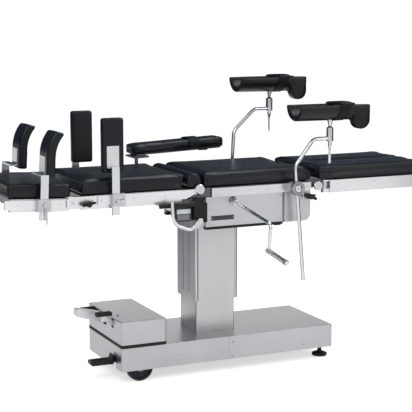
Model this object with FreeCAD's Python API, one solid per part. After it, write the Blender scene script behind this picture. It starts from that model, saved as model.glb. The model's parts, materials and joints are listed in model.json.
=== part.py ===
import FreeCAD, Part
import math
import os
from FreeCAD import Vector

# Operating table with its rail accessories, at real size in millimetres.
# X runs along the table with the head end at -X.
# Y runs across it with the operator's side at -Y, and Z is up.
# The origin is on the floor under the middle of the base.
# "front" is the operator's side at -Y and "rear" is the side at +Y.

# Fits and gaps
FIT = 0.05
REST_GAP = 0.5
PASS_GAP = 2.0

# Base covers
BASE_LENGTH = 1100.0
BASE_WIDTH = 444.0
BASE_BOTTOM = 60.0
BASE_TOP = 169.0
COVER_WALL = 2.0
COVER_CORNER = 12.0
SEAM_X = -11.0
SEAM_GAP = 1.0
PUMP_BOX_LENGTH = 222.0
PUMP_BOX_HEIGHT = 108.0
SEAL_HEIGHT = 14.0
SEAL_WIDTH = 12.0
SEAL_LIP = 1.0

# Chassis, wheels and feet
BEAM_INNER_Y = 50.0
BEAM_WIDTH = 40.0
BEAM_BOTTOM = 78.0
BEAM_HEIGHT = 60.0
BEAM_WALL = 6.0
SEAT_PLATE = 12.0
CROSS_BEAM = 30.0
COVER_BRACKETS = (-0.60, -0.345, 0.345, 0.655)
BRACKET_HALF = 15.0
COVER_SEAT = 0.3
WHEEL_INSET = 102.0
WHEEL_Y = 180.0
WHEEL_RADIUS = 63.5
WHEEL_WIDTH = 40.0
AXLE_RADIUS = 8.0
FOOT_INSET = 30.0
FOOT_Y = 147.0
FOOT_RADIUS = 37.0
FOOT_HEIGHT = 20.0
FOOT_STEM_RADIUS = 10.0

# Brake pedal
BRAKE_INSET = 22.0
BRAKE_Z = 94.0
BRAKE_PEDAL_Y = -120.0
BRAKE_PEDAL_WIDTH = 40.0
BRAKE_PEDAL_REACH = 112.0
BRAKE_SHOE_GAP = 5.0

# Foot pump
PUMP_PIVOT_INSET = 12.0
PUMP_PIVOT_DEPTH = 29.0
PUMP_SHAFT_RADIUS = 8.0
PUMP_LEVER_WIDTH = 46.0
PUMP_LEVER_REACH = 152.0
TREAD_Y = 106.0
TREAD_LENGTH = 74.0
TREAD_WIDTH = 28.0
TREAD_HEIGHT = 17.0
TREAD_RISE = 39.0
REAR_TREAD_DROP = 22.0
TREAD_STUB = 26.0

# Column
COLUMN_X = -22.5
COLUMN_LENGTH = 221.0
COLUMN_WIDTH = 212.0
SLEEVE_BOTTOM = 324.0
SLEEVE_TOP = 706.0
SLEEVE_WALL = 5.0
INNER_LENGTH = 200.0
INNER_WIDTH = 188.0
INNER_TOP = 540.0
INNER_WALL = 4.0
BARREL_RADIUS = 45.0
PISTON_RADIUS = 35.0
ROD_RADIUS = 30.0
BARREL_BOTTOM = 62.0
BARREL_TOP = 520.0
ROD_FOOT = 250.0

# Tilt joint on the column
HEAD_PLATE = 14.0
TREND_Z = 790.0
LATERAL_Z = 836.0
TRUNNION_RADIUS = 16.0
LATERAL_SHAFT_RADIUS = 14.0
EAR_INNER_Y = 84.0
EAR_THICKNESS = 18.0
CRADLE_HALF_LENGTH = 52.0
HANGER_THICKNESS = 16.0

# Table top
PAD_WIDTH = 480.0
PAD_THICKNESS = 66.0
PAD_CORNER = 14.0
PAD_EDGE = 9.0
FRAME_TOP = 883.0
FRAME_HEIGHT = 60.0
FRAME_MARGIN = 6.0
MEMBER_WIDTH = 30.0
DECK = 6.0
RAIL_THICKNESS = 10.0
RAIL_HEIGHT = 40.0
RAIL_SPACER = 5.4

# Seat section
SEAT_PAD_LEFT = -150.0
SEAT_PAD_RIGHT = 420.0
SEAT_CUT_HALF_WIDTH = 110.0
SEAT_CUT_DEPTH = 62.0
SEAT_BEAM_LEFT = -140.0
SEAT_BEAM_RIGHT = 400.0
SEAT_BEAM_HEIGHT = 40.0
SIDE_COVER_LEFT = -141.0
SIDE_COVER_RIGHT = 256.0
SIDE_COVER_BOTTOM = 703.0
SIDE_COVER_DEPTH = 24.0
SIDE_COVER_WALL = 3.0
LEG_COVER_LEFT = 264.0
LEG_COVER_RIGHT = 403.0
LEG_COVER_CORNER = 34.0
TRAY_HEIGHT = 13.0
SEAT_RAIL_LEFT = -116.0

# Back section and kidney bridge
BACK_PIVOT_X = -175.0
BACK_PIVOT_Z = 880.0
BACK_PAD_LEFT = -737.0
BACK_PAD_RIGHT = -233.0
BACK_FRAME_LEFT = -738.0
BACK_FRAME_RIGHT = -262.0
BACK_RAIL_LEFT = -666.0
BACK_RAIL_RIGHT = -240.0
HINGE_EAR_RADIUS = 22.0
HINGE_PLATE = 5.0
HINGE_PIN_RADIUS = 8.0
HINGE_CAP_RADIUS = 24.0
BRIDGE_X = -194.0
BRIDGE_RADIUS = 38.0
BRIDGE_FRONT_INSET = 1.0
BRIDGE_REAR_INSET = 35.0
BRIDGE_POST_Y = 120.0
BRIDGE_POST_RADIUS = 11.0

# Head section, drawn level and then raised by HEAD_TILT about its pivot
HEAD_PIVOT_X = -781.0
HEAD_PIVOT_Z = 858.0
HEAD_TILT = 2.6
HEAD_PAD_LEFT = -1072.0
HEAD_PAD_RIGHT = -783.0
HEAD_FRAME_TOP = 876.0
HEAD_FRAME_HEIGHT = 56.0
HEAD_RAIL_LEFT = -1088.0
HEAD_RAIL_RIGHT = -817.0

# Leg sections
LEG_PIVOT_X = 442.0
LEG_PIVOT_Z = 860.0
LEG_SWING_X = 492.0
LEG_SWING_INSET = 26.0
LEG_BOSS_RADIUS = 16.0
LEG_CAP_RADIUS = 23.0
LEG_PAD_LEFT = 452.0
LEG_PAD_RIGHT = 1070.0
LEG_FRAME_RIGHT = 1040.0
LEG_PAD_STEP = 5.0
LEG_SEAM = 2.0

# Crank, release lever and lock knobs
CRANK_X = -4.0
CRANK_Z = 818.0
CRANK_SHAFT_LENGTH = 380.0
CRANK_DROOP = 7.9
CRANK_ARM = 124.0
CRANK_RADIUS = 8.0
HANDLE_LENGTH = 150.0
HANDLE_RADIUS = 12.0
BEVEL_BOX_HALF = 30.0
CASTING_BOTTOM = 750.0
CASTING_TOP = 806.0
CASTING_INSET = 86.0
GUARD_DEPTH = 29.0
LEVER_OFFSET = 48.0
LEVER_HALF = 10.0
LEVER_SPACER_RADIUS = 12.0
LEVER_PIVOT_X = -199.0
LEVER_PIVOT_Z = 740.0
LEVER_RADIUS = 9.5
GUARD_LEFT = -213.0
GUARD_RIGHT = -148.0
GUARD_TOP = 845.0
GUARD_BOTTOM = 732.0
GRIP_OFFSET = 26.0
GRIP_Z = 818.0
GRIP_LENGTH = 172.0
GRIP_RADIUS = 11.0
HEAD_KNOB_X = -715.0
HEAD_KNOB_Z = 850.0
LEG_KNOB_X = 390.0
LEG_KNOB_Z = 815.0
KNOB_ROD_RADIUS = 6.0

# Shoulder supports
SHOULDER_POST_X = -917.0
SHOULDER_REAR_SHIFT = 18.0
SHOULDER_PAD_INSET = 78.0
SHOULDER_PAD_WIDTH = 124.0
SHOULDER_PAD_THICKNESS = 40.0
SHOULDER_PAD_OFFSET = 20.0
SHOULDER_PAD_BOTTOM = 963.0
SHOULDER_PLATE_REACH = 38.0
POST_WIDTH = 35.0
POST_THICKNESS = 9.0
CLAMP_WIDTH = 58.0

# Body supports
BODY_POST_X = -588.0
BODY_PAD_LEFT = -630.0
BODY_PAD_RIGHT = -528.0
BODY_PAD_INSET = 52.0
BODY_PAD_THICKNESS = 40.0
BODY_PAD_BOTTOM = 975.0
BODY_PAD_HEIGHT = 243.0
BODY_POST_FOOT = 793.0
BODY_POST_TOP = 1006.0
BODY_PLATE_HEIGHT = 100.0

# Arm board
ARM_POST_X = -268.0
ARM_POST_RADIUS = 9.0
ARM_BOARD_LEFT = -276.0
ARM_BOARD_RIGHT = 228.0
ARM_BOARD_DIP = 2.3
ARM_BOARD_STEP = 25.0
ARM_BOARD_WIDTH = 120.0
ARM_BOARD_BOTTOM = 980.0
ARM_PAD_THICKNESS = 50.0
ARM_PAD_THIN_END = 47.0

# Leg holders
HOLDER_OFFSET = 34.0
HOLDER_ROD_RADIUS = 9.0
FRONT_ROD_FOOT = (344.0, 421.0)
FRONT_ROD_POINTS = ((296.0, 969.0), (391.0, 1089.0))
FRONT_SOCKET_REACH = 87.0
FRONT_SOCKET_RISE = 18.0
REAR_ROD_FOOT = (237.0, 720.0)
REAR_ROD_POINTS = ((260.0, 1081.0), (374.0, 1186.0))
REAR_SOCKET_REACH = 85.0
REAR_SOCKET_RISE = 20.0
SOCKET_RADIUS = 17.0
SOCKET_HEIGHT = 64.0
CRUTCH_LENGTH = 370.0
CRUTCH_RADIUS = 75.0
CRUTCH_WALL = 20.0
CRUTCH_LOBE_RADIUS = 45.0
CRUTCH_LOBE_WIDTH = 46.0
CRUTCH_OFFSET = -194.0
LOCK_LEVER_LENGTH = 104.0

# Values worked out from the sizes above
BASE_END = BASE_LENGTH / 2
BASE_SIDE = BASE_WIDTH / 2
WHEEL_X = -BASE_END + WHEEL_INSET
FOOT_X = BASE_END - FOOT_INSET
BRAKE_X = -BASE_END + BRAKE_INSET
BEAM_TOP = BEAM_BOTTOM + BEAM_HEIGHT
COLUMN_SEAT = BEAM_TOP + SEAT_PLATE
SEAL_TOP = BASE_TOP + SEAL_HEIGHT
PUMP_BOX_TOP = SEAL_TOP + PUMP_BOX_HEIGHT
PUMP_BOX_RIGHT = -BASE_END + PUMP_BOX_LENGTH
PUMP_PIVOT_X = -BASE_END + PUMP_PIVOT_INSET
PUMP_PIVOT_Z = PUMP_BOX_TOP - PUMP_PIVOT_DEPTH
PAD_BOTTOM = FRAME_TOP + REST_GAP
PAD_TOP = PAD_BOTTOM + PAD_THICKNESS
FRAME_BOTTOM = FRAME_TOP - FRAME_HEIGHT
FRAME_HALF_WIDTH = PAD_WIDTH / 2 + FRAME_MARGIN
RAIL_OUTER = FRAME_HALF_WIDTH + RAIL_THICKNESS
RAIL_TOP = FRAME_TOP - 1.0
RAIL_BOTTOM = RAIL_TOP - RAIL_HEIGHT
SEAT_BEAM_BOTTOM = FRAME_TOP - SEAT_BEAM_HEIGHT
SEAT_SIDE = FRAME_HALF_WIDTH - RAIL_SPACER
SIDE_COVER_TOP = SEAT_BEAM_BOTTOM - PASS_GAP
BRIDGE_FRONT_Y = -PAD_WIDTH / 2 + BRIDGE_FRONT_INSET
BRIDGE_REAR_Y = PAD_WIDTH / 2 - BRIDGE_REAR_INSET
LEG_SWING_Y = FRAME_HALF_WIDTH - LEG_SWING_INSET
GUARD_FACE_Y = -FRAME_HALF_WIDTH - GUARD_DEPTH
LEVER_Y = -FRAME_HALF_WIDTH - LEVER_OFFSET
GRIP_Y = -FRAME_HALF_WIDTH - GRIP_OFFSET
SHOULDER_PAD_Y = RAIL_OUTER - SHOULDER_PAD_INSET
BODY_PAD_Y = RAIL_OUTER - BODY_PAD_INSET
HOLDER_Y = RAIL_OUTER + HOLDER_OFFSET
ARM_POST_Y = HOLDER_Y
ARM_BOARD_INNER_Y = ARM_POST_Y + ARM_BOARD_STEP
SIDES = (("front", -1), ("rear", 1))


def box(x0, x1, y0, y1, z0, z1):
    """A block between two corners."""
    return Part.makeBox(x1 - x0, y1 - y0, z1 - z0, Vector(x0, y0, z0))


def side_box(side, x0, x1, inner, outer, z0, z1):
    """A block on the front or the rear side, between two distances from the middle plane."""
    low, high = sorted((side * inner, side * outer))
    return box(x0, x1, low, high, z0, z1)


def rod(start, end, radius):
    """A round bar from start to end."""
    way = end - start
    return Part.makeCylinder(radius, way.Length, start, way)


def fuse(first, *others):
    """One solid from several that touch or overlap."""
    return first.fuse(list(others)).removeSplitter()


def prism(points, axis, low, high):
    """A closed outline in the other two axes, extruded along axis from low to high."""
    corners = []
    for a, b in points:
        spot = {"x": Vector(low, a, b), "y": Vector(a, low, b), "z": Vector(a, b, low)}
        corners.append(spot[axis])
    face = Part.Face(Part.makePolygon(corners + corners[:1]))
    way = {"x": Vector(1, 0, 0), "y": Vector(0, 1, 0), "z": Vector(0, 0, 1)}
    return face.extrude(way[axis] * (high - low))


def turned(points, base, direction):
    """A body of revolution from (radius, height) points, standing on base along direction."""
    outline = [Vector(r, 0, h) for r, h in points]
    face = Part.Face(Part.makePolygon(outline + outline[:1]))
    solid = face.revolve(Vector(0, 0, 0), Vector(0, 0, 1), 360)
    solid.Placement = FreeCAD.Placement(base, FreeCAD.Rotation(Vector(0, 0, 1), direction))
    return solid


def edges_where(shape, test):
    """The edges whose two ends both pass a test."""
    return [e for e in shape.Edges if all(test(v.Point) for v in e.Vertexes)]


def upright_edges(shape):
    """The straight edges that run along Z."""
    found = []
    for edge in shape.Edges:
        ends = [v.Point for v in edge.Vertexes]
        if len(ends) == 2 and abs(ends[0].x - ends[1].x) + abs(ends[0].y - ends[1].y) < 1e-6:
            found.append(edge)
    return found


def rounded_box(x0, x1, y0, y1, z0, z1, corner, edge=0.0, bottom=0.0):
    """A block with rounded upright corners, and rounded top and bottom edges if asked."""
    block = box(x0, x1, y0, y1, z0, z1)
    block = block.makeFillet(corner, upright_edges(block))
    if edge:
        block = block.makeFillet(edge, edges_where(block, lambda p: abs(p.z - z1) < 1e-6))
    if bottom:
        block = block.makeFillet(bottom, edges_where(block, lambda p: abs(p.z - z0) < 1e-6))
    return block


def bent_bar(points, bends, radius):
    """A round bar along straight runs, with each inner point turned on its own bend radius."""
    edges = []
    start = points[0]
    for before, corner, after, bend in zip(points, points[1:], points[2:], bends):
        back = (before - corner).normalize()
        ahead = (after - corner).normalize()
        half = back.getAngle(ahead) / 2
        setback = bend / math.tan(half)
        middle = corner + (back + ahead).normalize() * (bend / math.sin(half) - bend)
        edges.append(Part.LineSegment(start, corner + back * setback).toShape())
        edges.append(Part.Arc(corner + back * setback, middle, corner + ahead * setback).toShape())
        start = corner + ahead * setback
    edges.append(Part.LineSegment(start, points[-1]).toShape())
    ring = Part.Wire(Part.Circle(points[0], points[1] - points[0], radius).toShape())
    return Part.Wire(edges).makePipeShell([ring], True, False)


def tangent_point(x, z, cx, cz, radius, turn):
    """Where the line from (x, z) touches a circle, on the side given by turn."""
    reach = math.hypot(x - cx, z - cz)
    angle = math.atan2(z - cz, x - cx) + turn * math.acos(radius / reach)
    return cx + radius * math.cos(angle), cz + radius * math.sin(angle)


def ear(cx, cz, radius, left, right, base, y0, y1):
    """A plate in the XZ plane that tapers from a straight base up to a round end."""
    outline = [
        (left, base),
        (right, base),
        tangent_point(right, base, cx, cz, radius, 1),
        tangent_point(left, base, cx, cz, radius, -1),
    ]
    round_end = rod(Vector(cx, y0, cz), Vector(cx, y1, cz), radius)
    return fuse(prism(outline, "y", y0, y1), round_end)


def along_y(x, z, y0, y1, radius):
    """A round bar along Y."""
    return rod(Vector(x, y0, z), Vector(x, y1, z), radius)


def save(name, *solids):
    """Writes one node's file."""
    for solid in solids:
        if not solid.isValid() or solid.Volume <= 0 or len(solid.Solids) != 1:
            print("check", name, solid.isValid(), round(solid.Volume), len(solid.Solids))
    shape = solids[0] if len(solids) == 1 else Part.makeCompound(list(solids))
    shape.exportStep("parts/" + name + ".step")
    print(name, len(solids))


# Base


def open_cover(x0, x1, z0, z1):
    """A sheet cover, open underneath, with rounded corners."""
    wall = COVER_WALL
    outer = rounded_box(x0, x1, -BASE_SIDE, BASE_SIDE, z0, z1, COVER_CORNER, wall * 2)
    side = BASE_SIDE - wall
    inner = rounded_box(x0 + wall, x1 - wall, -side, side, z0 - 1, z1 - wall, COVER_CORNER - wall, wall)
    return outer.cut(inner)


def base_cover(head_end):
    """One half of the base cover, up to the seam, with the opening for the column."""
    shell = open_cover(-BASE_END, BASE_END, BASE_BOTTOM, BASE_TOP)
    half = SEAM_GAP / 2
    reach = BASE_END + 1
    if head_end:
        keep = box(-reach, SEAM_X - half, -reach, reach, 0, BASE_TOP + 1)
    else:
        keep = box(SEAM_X + half, reach, -reach, reach, 0, BASE_TOP + 1)
    shell = shell.common(keep)
    length = INNER_LENGTH / 2 + 1
    width = INNER_WIDTH / 2 + 1
    shell = shell.cut(box(COLUMN_X - length, COLUMN_X + length, -width, width, COLUMN_SEAT, BASE_TOP + 1))
    if not head_end:
        return shell
    edge = SEAL_WIDTH + 4
    shell = shell.cut(
        box(-BASE_END + edge, PUMP_BOX_RIGHT - edge, -BASE_SIDE + 70, BASE_SIDE - 70, BEAM_TOP, BASE_TOP + 1)
    )
    half_slot = BRAKE_PEDAL_WIDTH / 2 + 3
    slot_top = BRAKE_Z + 22
    front = BRAKE_PEDAL_Y - half_slot
    rear = BRAKE_PEDAL_Y + half_slot
    return shell.cut(box(-BASE_END - 1, -BASE_END + 8, front, rear, BASE_BOTTOM - 1, slot_top))


def pump_cover():
    """The raised cover over the foot pump, with slots for its two pedals."""
    shell = open_cover(-BASE_END, PUMP_BOX_RIGHT, SEAL_TOP, PUMP_BOX_TOP)
    x0 = -BASE_END - 1
    x1 = -BASE_END + 6
    half = PUMP_LEVER_WIDTH / 2 + 3
    shell = shell.cut(box(x0, x1, -half, half, PUMP_PIVOT_Z - 26, PUMP_PIVOT_Z + 18))
    for side in (-1, 1):
        low, high = PUMP_PIVOT_Z - 20, PUMP_PIVOT_Z + 24
        shell = shell.cut(side_box(side, x0, x1, TREAD_Y - 13, TREAD_Y + 13, low, high))
    return shell


def pump_cover_seal():
    """The rubber strip between the two covers."""
    lip = SEAL_LIP
    x0, x1, y1 = -BASE_END - lip, PUMP_BOX_RIGHT + lip, BASE_SIDE + lip
    ring = rounded_box(x0, x1, -y1, y1, BASE_TOP, SEAL_TOP, COVER_CORNER)
    w = SEAL_WIDTH
    hole = rounded_box(x0 + w, x1 - w, -y1 + w, y1 - w, BASE_TOP - 1, SEAL_TOP + 1, COVER_CORNER / 2)
    return ring.cut(hole)


def base_chassis():
    """Two channel beams with cross beams, the column seat, the wheel lugs and the fixed axle."""
    end = BASE_END - COVER_WALL - 4
    outer = BEAM_INNER_Y + BEAM_WIDTH
    solids = []
    for side in (-1, 1):
        beam = side_box(side, -end, end, BEAM_INNER_Y, outer, BEAM_BOTTOM, BEAM_TOP)
        low, high = BEAM_BOTTOM + BEAM_WALL, BEAM_TOP - BEAM_WALL
        beam = beam.cut(side_box(side, -end - 1, end + 1, BEAM_INNER_Y - 1, outer - BEAM_WALL, low, high))
        solids.append(beam)
        lug_half = AXLE_RADIUS * 3
        lug = side_box(
            side,
            WHEEL_X - lug_half,
            WHEEL_X + lug_half,
            outer + CROSS_BEAM,
            WHEEL_Y - WHEEL_WIDTH / 2 - PASS_GAP * 3,
            WHEEL_RADIUS - AXLE_RADIUS * 2,
            BEAM_BOTTOM + 10,
        )
        solids.append(lug)
    wide = WHEEL_Y - WHEEL_WIDTH / 2 - PASS_GAP * 3
    for x in (WHEEL_X, COLUMN_X - 105, COLUMN_X + 105):
        solids.append(box(x - CROSS_BEAM, x + CROSS_BEAM, -wide, wide, BEAM_BOTTOM, BEAM_TOP))
    foot_side = FOOT_Y + FOOT_STEM_RADIUS * 3
    foot_end = FOOT_X + FOOT_STEM_RADIUS * 2.4
    solids.append(box(FOOT_X - 28, foot_end, -foot_side, foot_side, BEAM_BOTTOM, BEAM_TOP))
    solids.append(box(COLUMN_X - 135, COLUMN_X + 135, -wide, wide, BEAM_TOP, COLUMN_SEAT))
    reach = BASE_SIDE - COVER_WALL - COVER_SEAT
    half = BRACKET_HALF
    for share in COVER_BRACKETS:
        x = share * BASE_END
        solids.append(box(x - half, x + half, -reach, reach, BEAM_BOTTOM + 20, BEAM_BOTTOM + 36))
    axle_end = WHEEL_Y + WHEEL_WIDTH / 2 + 4
    axle = along_y(WHEEL_X, WHEEL_RADIUS, -axle_end, axle_end, AXLE_RADIUS)
    frame = fuse(solids[0], *solids[1:], axle)
    frame = frame.cut(
        rod(Vector(COLUMN_X, 0, BEAM_BOTTOM - 1), Vector(COLUMN_X, 0, COLUMN_SEAT + 1), BARREL_RADIUS + 1)
    )
    frame = frame.cut(along_y(BRAKE_X, BRAKE_Z, -outer - 1, outer + 1, AXLE_RADIUS + FIT))
    for side in (-1, 1):
        foot = Vector(FOOT_X, side * FOOT_Y, BEAM_BOTTOM - 1)
        frame = frame.cut(rod(foot, foot + Vector(0, 0, BEAM_HEIGHT + 2), FOOT_STEM_RADIUS + FIT))
    return frame


def levelling_foot(side):
    """A rubber-faced swivel foot on its screwed stem, with the lock nut under the chassis."""
    base = Vector(FOOT_X, side * FOOT_Y, 0)
    edge = FOOT_RADIUS
    stem = FOOT_STEM_RADIUS
    outline = [
        (0, 0),
        (edge - 2, 0),
        (edge, 3),
        (edge, FOOT_HEIGHT * 0.6),
        (edge * 0.5, FOOT_HEIGHT),
        (stem, FOOT_HEIGHT + 3),
        (stem, BEAM_TOP - 4),
        (0, BEAM_TOP - 4),
    ]
    nut = Part.Face(Part.makePolygon([
        Vector(stem * 1.8 * math.cos(math.radians(60 * i)), stem * 1.8 * math.sin(math.radians(60 * i)), 0)
        for i in range(7)
    ])).extrude(Vector(0, 0, 12))
    nut.translate(base + Vector(0, 0, BEAM_BOTTOM - 12.5))
    return fuse(turned(outline, base, Vector(0, 0, 1)), nut)


def wheel(side):
    """A moulded wheel with a crowned tread and a bore that runs on the axle."""
    half = WHEEL_WIDTH / 2
    bore = AXLE_RADIUS + FIT
    rim = WHEEL_RADIUS
    face = [
        (bore, half - 2),
        (bore * 2.6, half - 2),
        (bore * 3.1, half * 0.6),
        (rim * 0.72, half * 0.6),
        (rim * 0.78, half),
        (rim * 0.93, half),
        (rim, half * 0.5),
    ]
    outline = [(r, -h) for r, h in face] + [(r, h) for r, h in reversed(face)]
    return turned(outline, Vector(WHEEL_X, side * WHEEL_Y, WHEEL_RADIUS), Vector(0, 1, 0))


def brake_pedal():
    """The brake pedal with its cross shaft and the two shoes that press on the wheels."""
    reach = WHEEL_Y + WHEEL_WIDTH / 2 - 4
    shaft = along_y(BRAKE_X, BRAKE_Z, -reach, reach, AXLE_RADIUS)
    half = BRAKE_PEDAL_WIDTH / 2
    front = BRAKE_PEDAL_Y - half
    rear = BRAKE_PEDAL_Y + half
    inner_end = -BASE_END - 8
    outer_end = inner_end - BRAKE_PEDAL_REACH
    arm_front, arm_rear = BRAKE_PEDAL_Y - half / 2, BRAKE_PEDAL_Y + half / 2
    arm = box(inner_end, BRAKE_X, arm_front, arm_rear, BRAKE_Z - 10, BRAKE_Z + 10)
    top = BRAKE_Z + 10
    low = BRAKE_Z - 14
    outline = [
        (inner_end, low),
        (inner_end, top + 20),
        (inner_end - 4, top + 22),
        (inner_end - 12, top),
        (outer_end + 3, top),
        (outer_end, top - 3),
        (outer_end, low + 9),
        (outer_end + 9, low),
    ]
    lever = prism(outline, "y", front, rear)
    parts = [arm, lever]
    tread = WHEEL_X - WHEEL_RADIUS
    for side in (-1, 1):
        y0 = WHEEL_Y - 12
        y1 = WHEEL_Y + 12
        shoe_right = tread - BRAKE_SHOE_GAP
        parts.append(side_box(side, BRAKE_X - 7, shoe_right, y0, y1, WHEEL_RADIUS - 3, WHEEL_RADIUS + 14))
        parts.append(side_box(side, BRAKE_X - 7, BRAKE_X + 5, y0, y1, WHEEL_RADIUS, BRAKE_Z))
    return fuse(shaft, *parts)


def pump_lever():
    """The foot pump's pedal, a pressed channel that rises outwards from its hub."""
    x, z = PUMP_PIVOT_X, PUMP_PIVOT_Z
    tip = x - PUMP_LEVER_REACH
    half = PUMP_LEVER_WIDTH / 2
    outline = [
        (x, z - 12),
        (x - 20, z - 12),
        (x - 36, z - 10),
        (tip, z + 26),
        (tip - 4, z + 32),
        (tip - 3, z + 57),
        (tip + 6, z + 62),
        (x - 44, z + 38),
        (x - 24, z + 22),
        (x - 18, z + 12),
        (x, z + 12),
    ]
    lever = fuse(prism(outline, "y", -half, half), along_y(x, z, -half, half, 16))
    hollow = [
        (x - 40, z - 14),
        (tip + 8, z + 20),
        (tip + 8, z + 53),
        (x - 44, z + 30),
    ]
    lever = lever.cut(prism(hollow, "y", -half + 5, half - 5))
    return lever.cut(along_y(x, z, -half - 1, half + 1, PUMP_SHAFT_RADIUS + FIT))


def lowering_pedal():
    """The lowering yoke that straddles the pump lever, and its two rubber treads."""
    x, z = PUMP_PIVOT_X, PUMP_PIVOT_Z
    stub_x = x - 53
    arms = []
    treads = []
    for side in (-1, 1):
        inner, outer = TREAD_Y - 8, TREAD_Y + 8
        tread_bottom = z + TREAD_RISE - (REAR_TREAD_DROP if side > 0 else 0.0)
        foot = tread_bottom - TREAD_STUB
        outline = [(x, z - 9), (x - 10, z - 9), (stub_x + 12, foot), (stub_x - 12, foot)]
        outline += [(stub_x - 12, tread_bottom), (stub_x + 12, tread_bottom)]
        outline += [(stub_x + 12, foot + 18), (x, z + 9)]
        near, far = sorted((side * inner, side * outer))
        arm = prism(outline, "y", near, far)
        hub = along_y(x, z, side * inner, side * outer, 15)
        web = side_box(side, x, x + 28, inner, outer, z - 7, z + 7)
        arms += [arm, hub, web]
        tread = rounded_box(
            -BASE_END - 6 - TREAD_LENGTH,
            -BASE_END - 6,
            side * TREAD_Y - TREAD_WIDTH / 2,
            side * TREAD_Y + TREAD_WIDTH / 2,
            tread_bottom,
            tread_bottom + TREAD_HEIGHT,
            5,
            3,
        )
        treads.append(tread)
    bridge = along_y(x + 24, z, -TREAD_Y, TREAD_Y, 6)
    yoke = fuse(arms[0], *arms[1:], bridge)
    bore = along_y(x, z, -TREAD_Y - 20, TREAD_Y + 20, PUMP_SHAFT_RADIUS + FIT)
    return [yoke.cut(bore)] + treads


def hydraulic_unit():
    """The lift cylinder's barrel, and the pump block with its pedal shaft and pressure pipe."""
    gland = 20.0
    floor = 14.0
    base = Vector(COLUMN_X, 0, BARREL_BOTTOM)
    height = BARREL_TOP - BARREL_BOTTOM
    bore = PISTON_RADIUS
    outline = [
        (0, 0),
        (BARREL_RADIUS, 0),
        (BARREL_RADIUS, height),
        (ROD_RADIUS + FIT, height),
        (ROD_RADIUS + FIT, height - gland),
        (bore, height - gland),
        (bore, floor),
        (0, floor),
    ]
    barrel = turned(outline, base, Vector(0, 0, 1))
    pipe_z = BARREL_BOTTOM + 9
    port_x = COLUMN_X - BARREL_RADIUS - 10
    port = rod(Vector(port_x, 0, pipe_z), Vector(COLUMN_X - BARREL_RADIUS + 8, 0, pipe_z), 7)
    barrel = fuse(barrel, port)
    x = PUMP_PIVOT_X
    shaft_end = TREAD_Y + 22
    block = box(x + 38, PUMP_BOX_RIGHT - 30, -shaft_end + 8, shaft_end - 8, COLUMN_SEAT, PUMP_PIVOT_Z - 12)
    parts = []
    for side in (-1, 1):
        cheek = side_box(side, x - 8, x + 90, shaft_end - 8, shaft_end, PUMP_PIVOT_Z - 60, PUMP_PIVOT_Z + 12)
        parts.append(cheek)
    shaft = along_y(x, PUMP_PIVOT_Z, -shaft_end, shaft_end, PUMP_SHAFT_RADIUS)
    drop_x = PUMP_BOX_RIGHT - 60
    pipe = bent_bar(
        [Vector(drop_x, 0, COLUMN_SEAT + 10), Vector(drop_x, 0, pipe_z), Vector(port_x, 0, pipe_z)],
        [24],
        5,
    )
    return barrel, fuse(block, *parts, shaft, pipe)


# Column


def rectangle(half_x, half_y, z0, z1):
    """A block centred on the column."""
    return box(COLUMN_X - half_x, COLUMN_X + half_x, -half_y, half_y, z0, z1)


def column_inner_sleeve():
    """The fixed sleeve with its foot flange."""
    length = INNER_LENGTH / 2
    width = INNER_WIDTH / 2
    tube = rectangle(length, width, COLUMN_SEAT, INNER_TOP)
    tube = tube.makeFillet(6, upright_edges(tube))
    flange = rectangle(length + 12, width + 12, COLUMN_SEAT, COLUMN_SEAT + 10)
    wall = INNER_WALL
    hollow = rectangle(length - wall, width - wall, COLUMN_SEAT - 1, INNER_TOP + 1)
    return fuse(tube, flange).cut(hollow)


def column_outer_sleeve():
    """The moving sleeve, with an upright reveal beside each corner of its front and rear panels."""
    length = COLUMN_LENGTH / 2
    width = COLUMN_WIDTH / 2
    tube = rectangle(length, width, SLEEVE_BOTTOM, SLEEVE_TOP)
    tube = tube.makeFillet(3, upright_edges(tube))
    wall = SLEEVE_WALL
    tube = tube.cut(rectangle(length - wall, width - wall, SLEEVE_BOTTOM - 1, SLEEVE_TOP + 1))
    reveal = 6.0
    low, high = SLEEVE_BOTTOM - 1, SLEEVE_TOP + 1
    for side in (-1, 1):
        for end in (-1, 1):
            x = COLUMN_X + end * (length - 15)
            x0, x1 = x - reveal / 2, x + reveal / 2
            tube = tube.cut(side_box(side, x0, x1, width - 3, width + 1, low, high))
    return tube


def piston_rod():
    """The lift cylinder's rod and piston."""
    rod_length = SLEEVE_TOP - ROD_FOOT
    outline = [
        (0, 0),
        (PISTON_RADIUS - FIT, 0),
        (PISTON_RADIUS - FIT, 40),
        (ROD_RADIUS, 40),
        (ROD_RADIUS, rod_length),
        (0, rod_length),
    ]
    return turned(outline, Vector(COLUMN_X, 0, SLEEVE_TOP - rod_length), Vector(0, 0, 1))


def column_head():
    """The fork on top of the column that carries the tilt cradle's trunnions."""
    top = SLEEVE_TOP + HEAD_PLATE
    plate = rectangle(COLUMN_LENGTH / 2 - 2, COLUMN_WIDTH / 2 - 2, SLEEVE_TOP, top)
    ears = []
    for side in (-1, 1):
        y0, y1 = sorted((side * EAR_INNER_Y, side * (EAR_INNER_Y + EAR_THICKNESS)))
        ears.append(ear(COLUMN_X, TREND_Z, TRUNNION_RADIUS * 2, COLUMN_X - 82, COLUMN_X + 82, top, y0, y1))
    head = fuse(plate, *ears)
    reach = EAR_INNER_Y + EAR_THICKNESS + 1
    return head.cut(along_y(COLUMN_X, TREND_Z, -reach, reach, TRUNNION_RADIUS + FIT))


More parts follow.
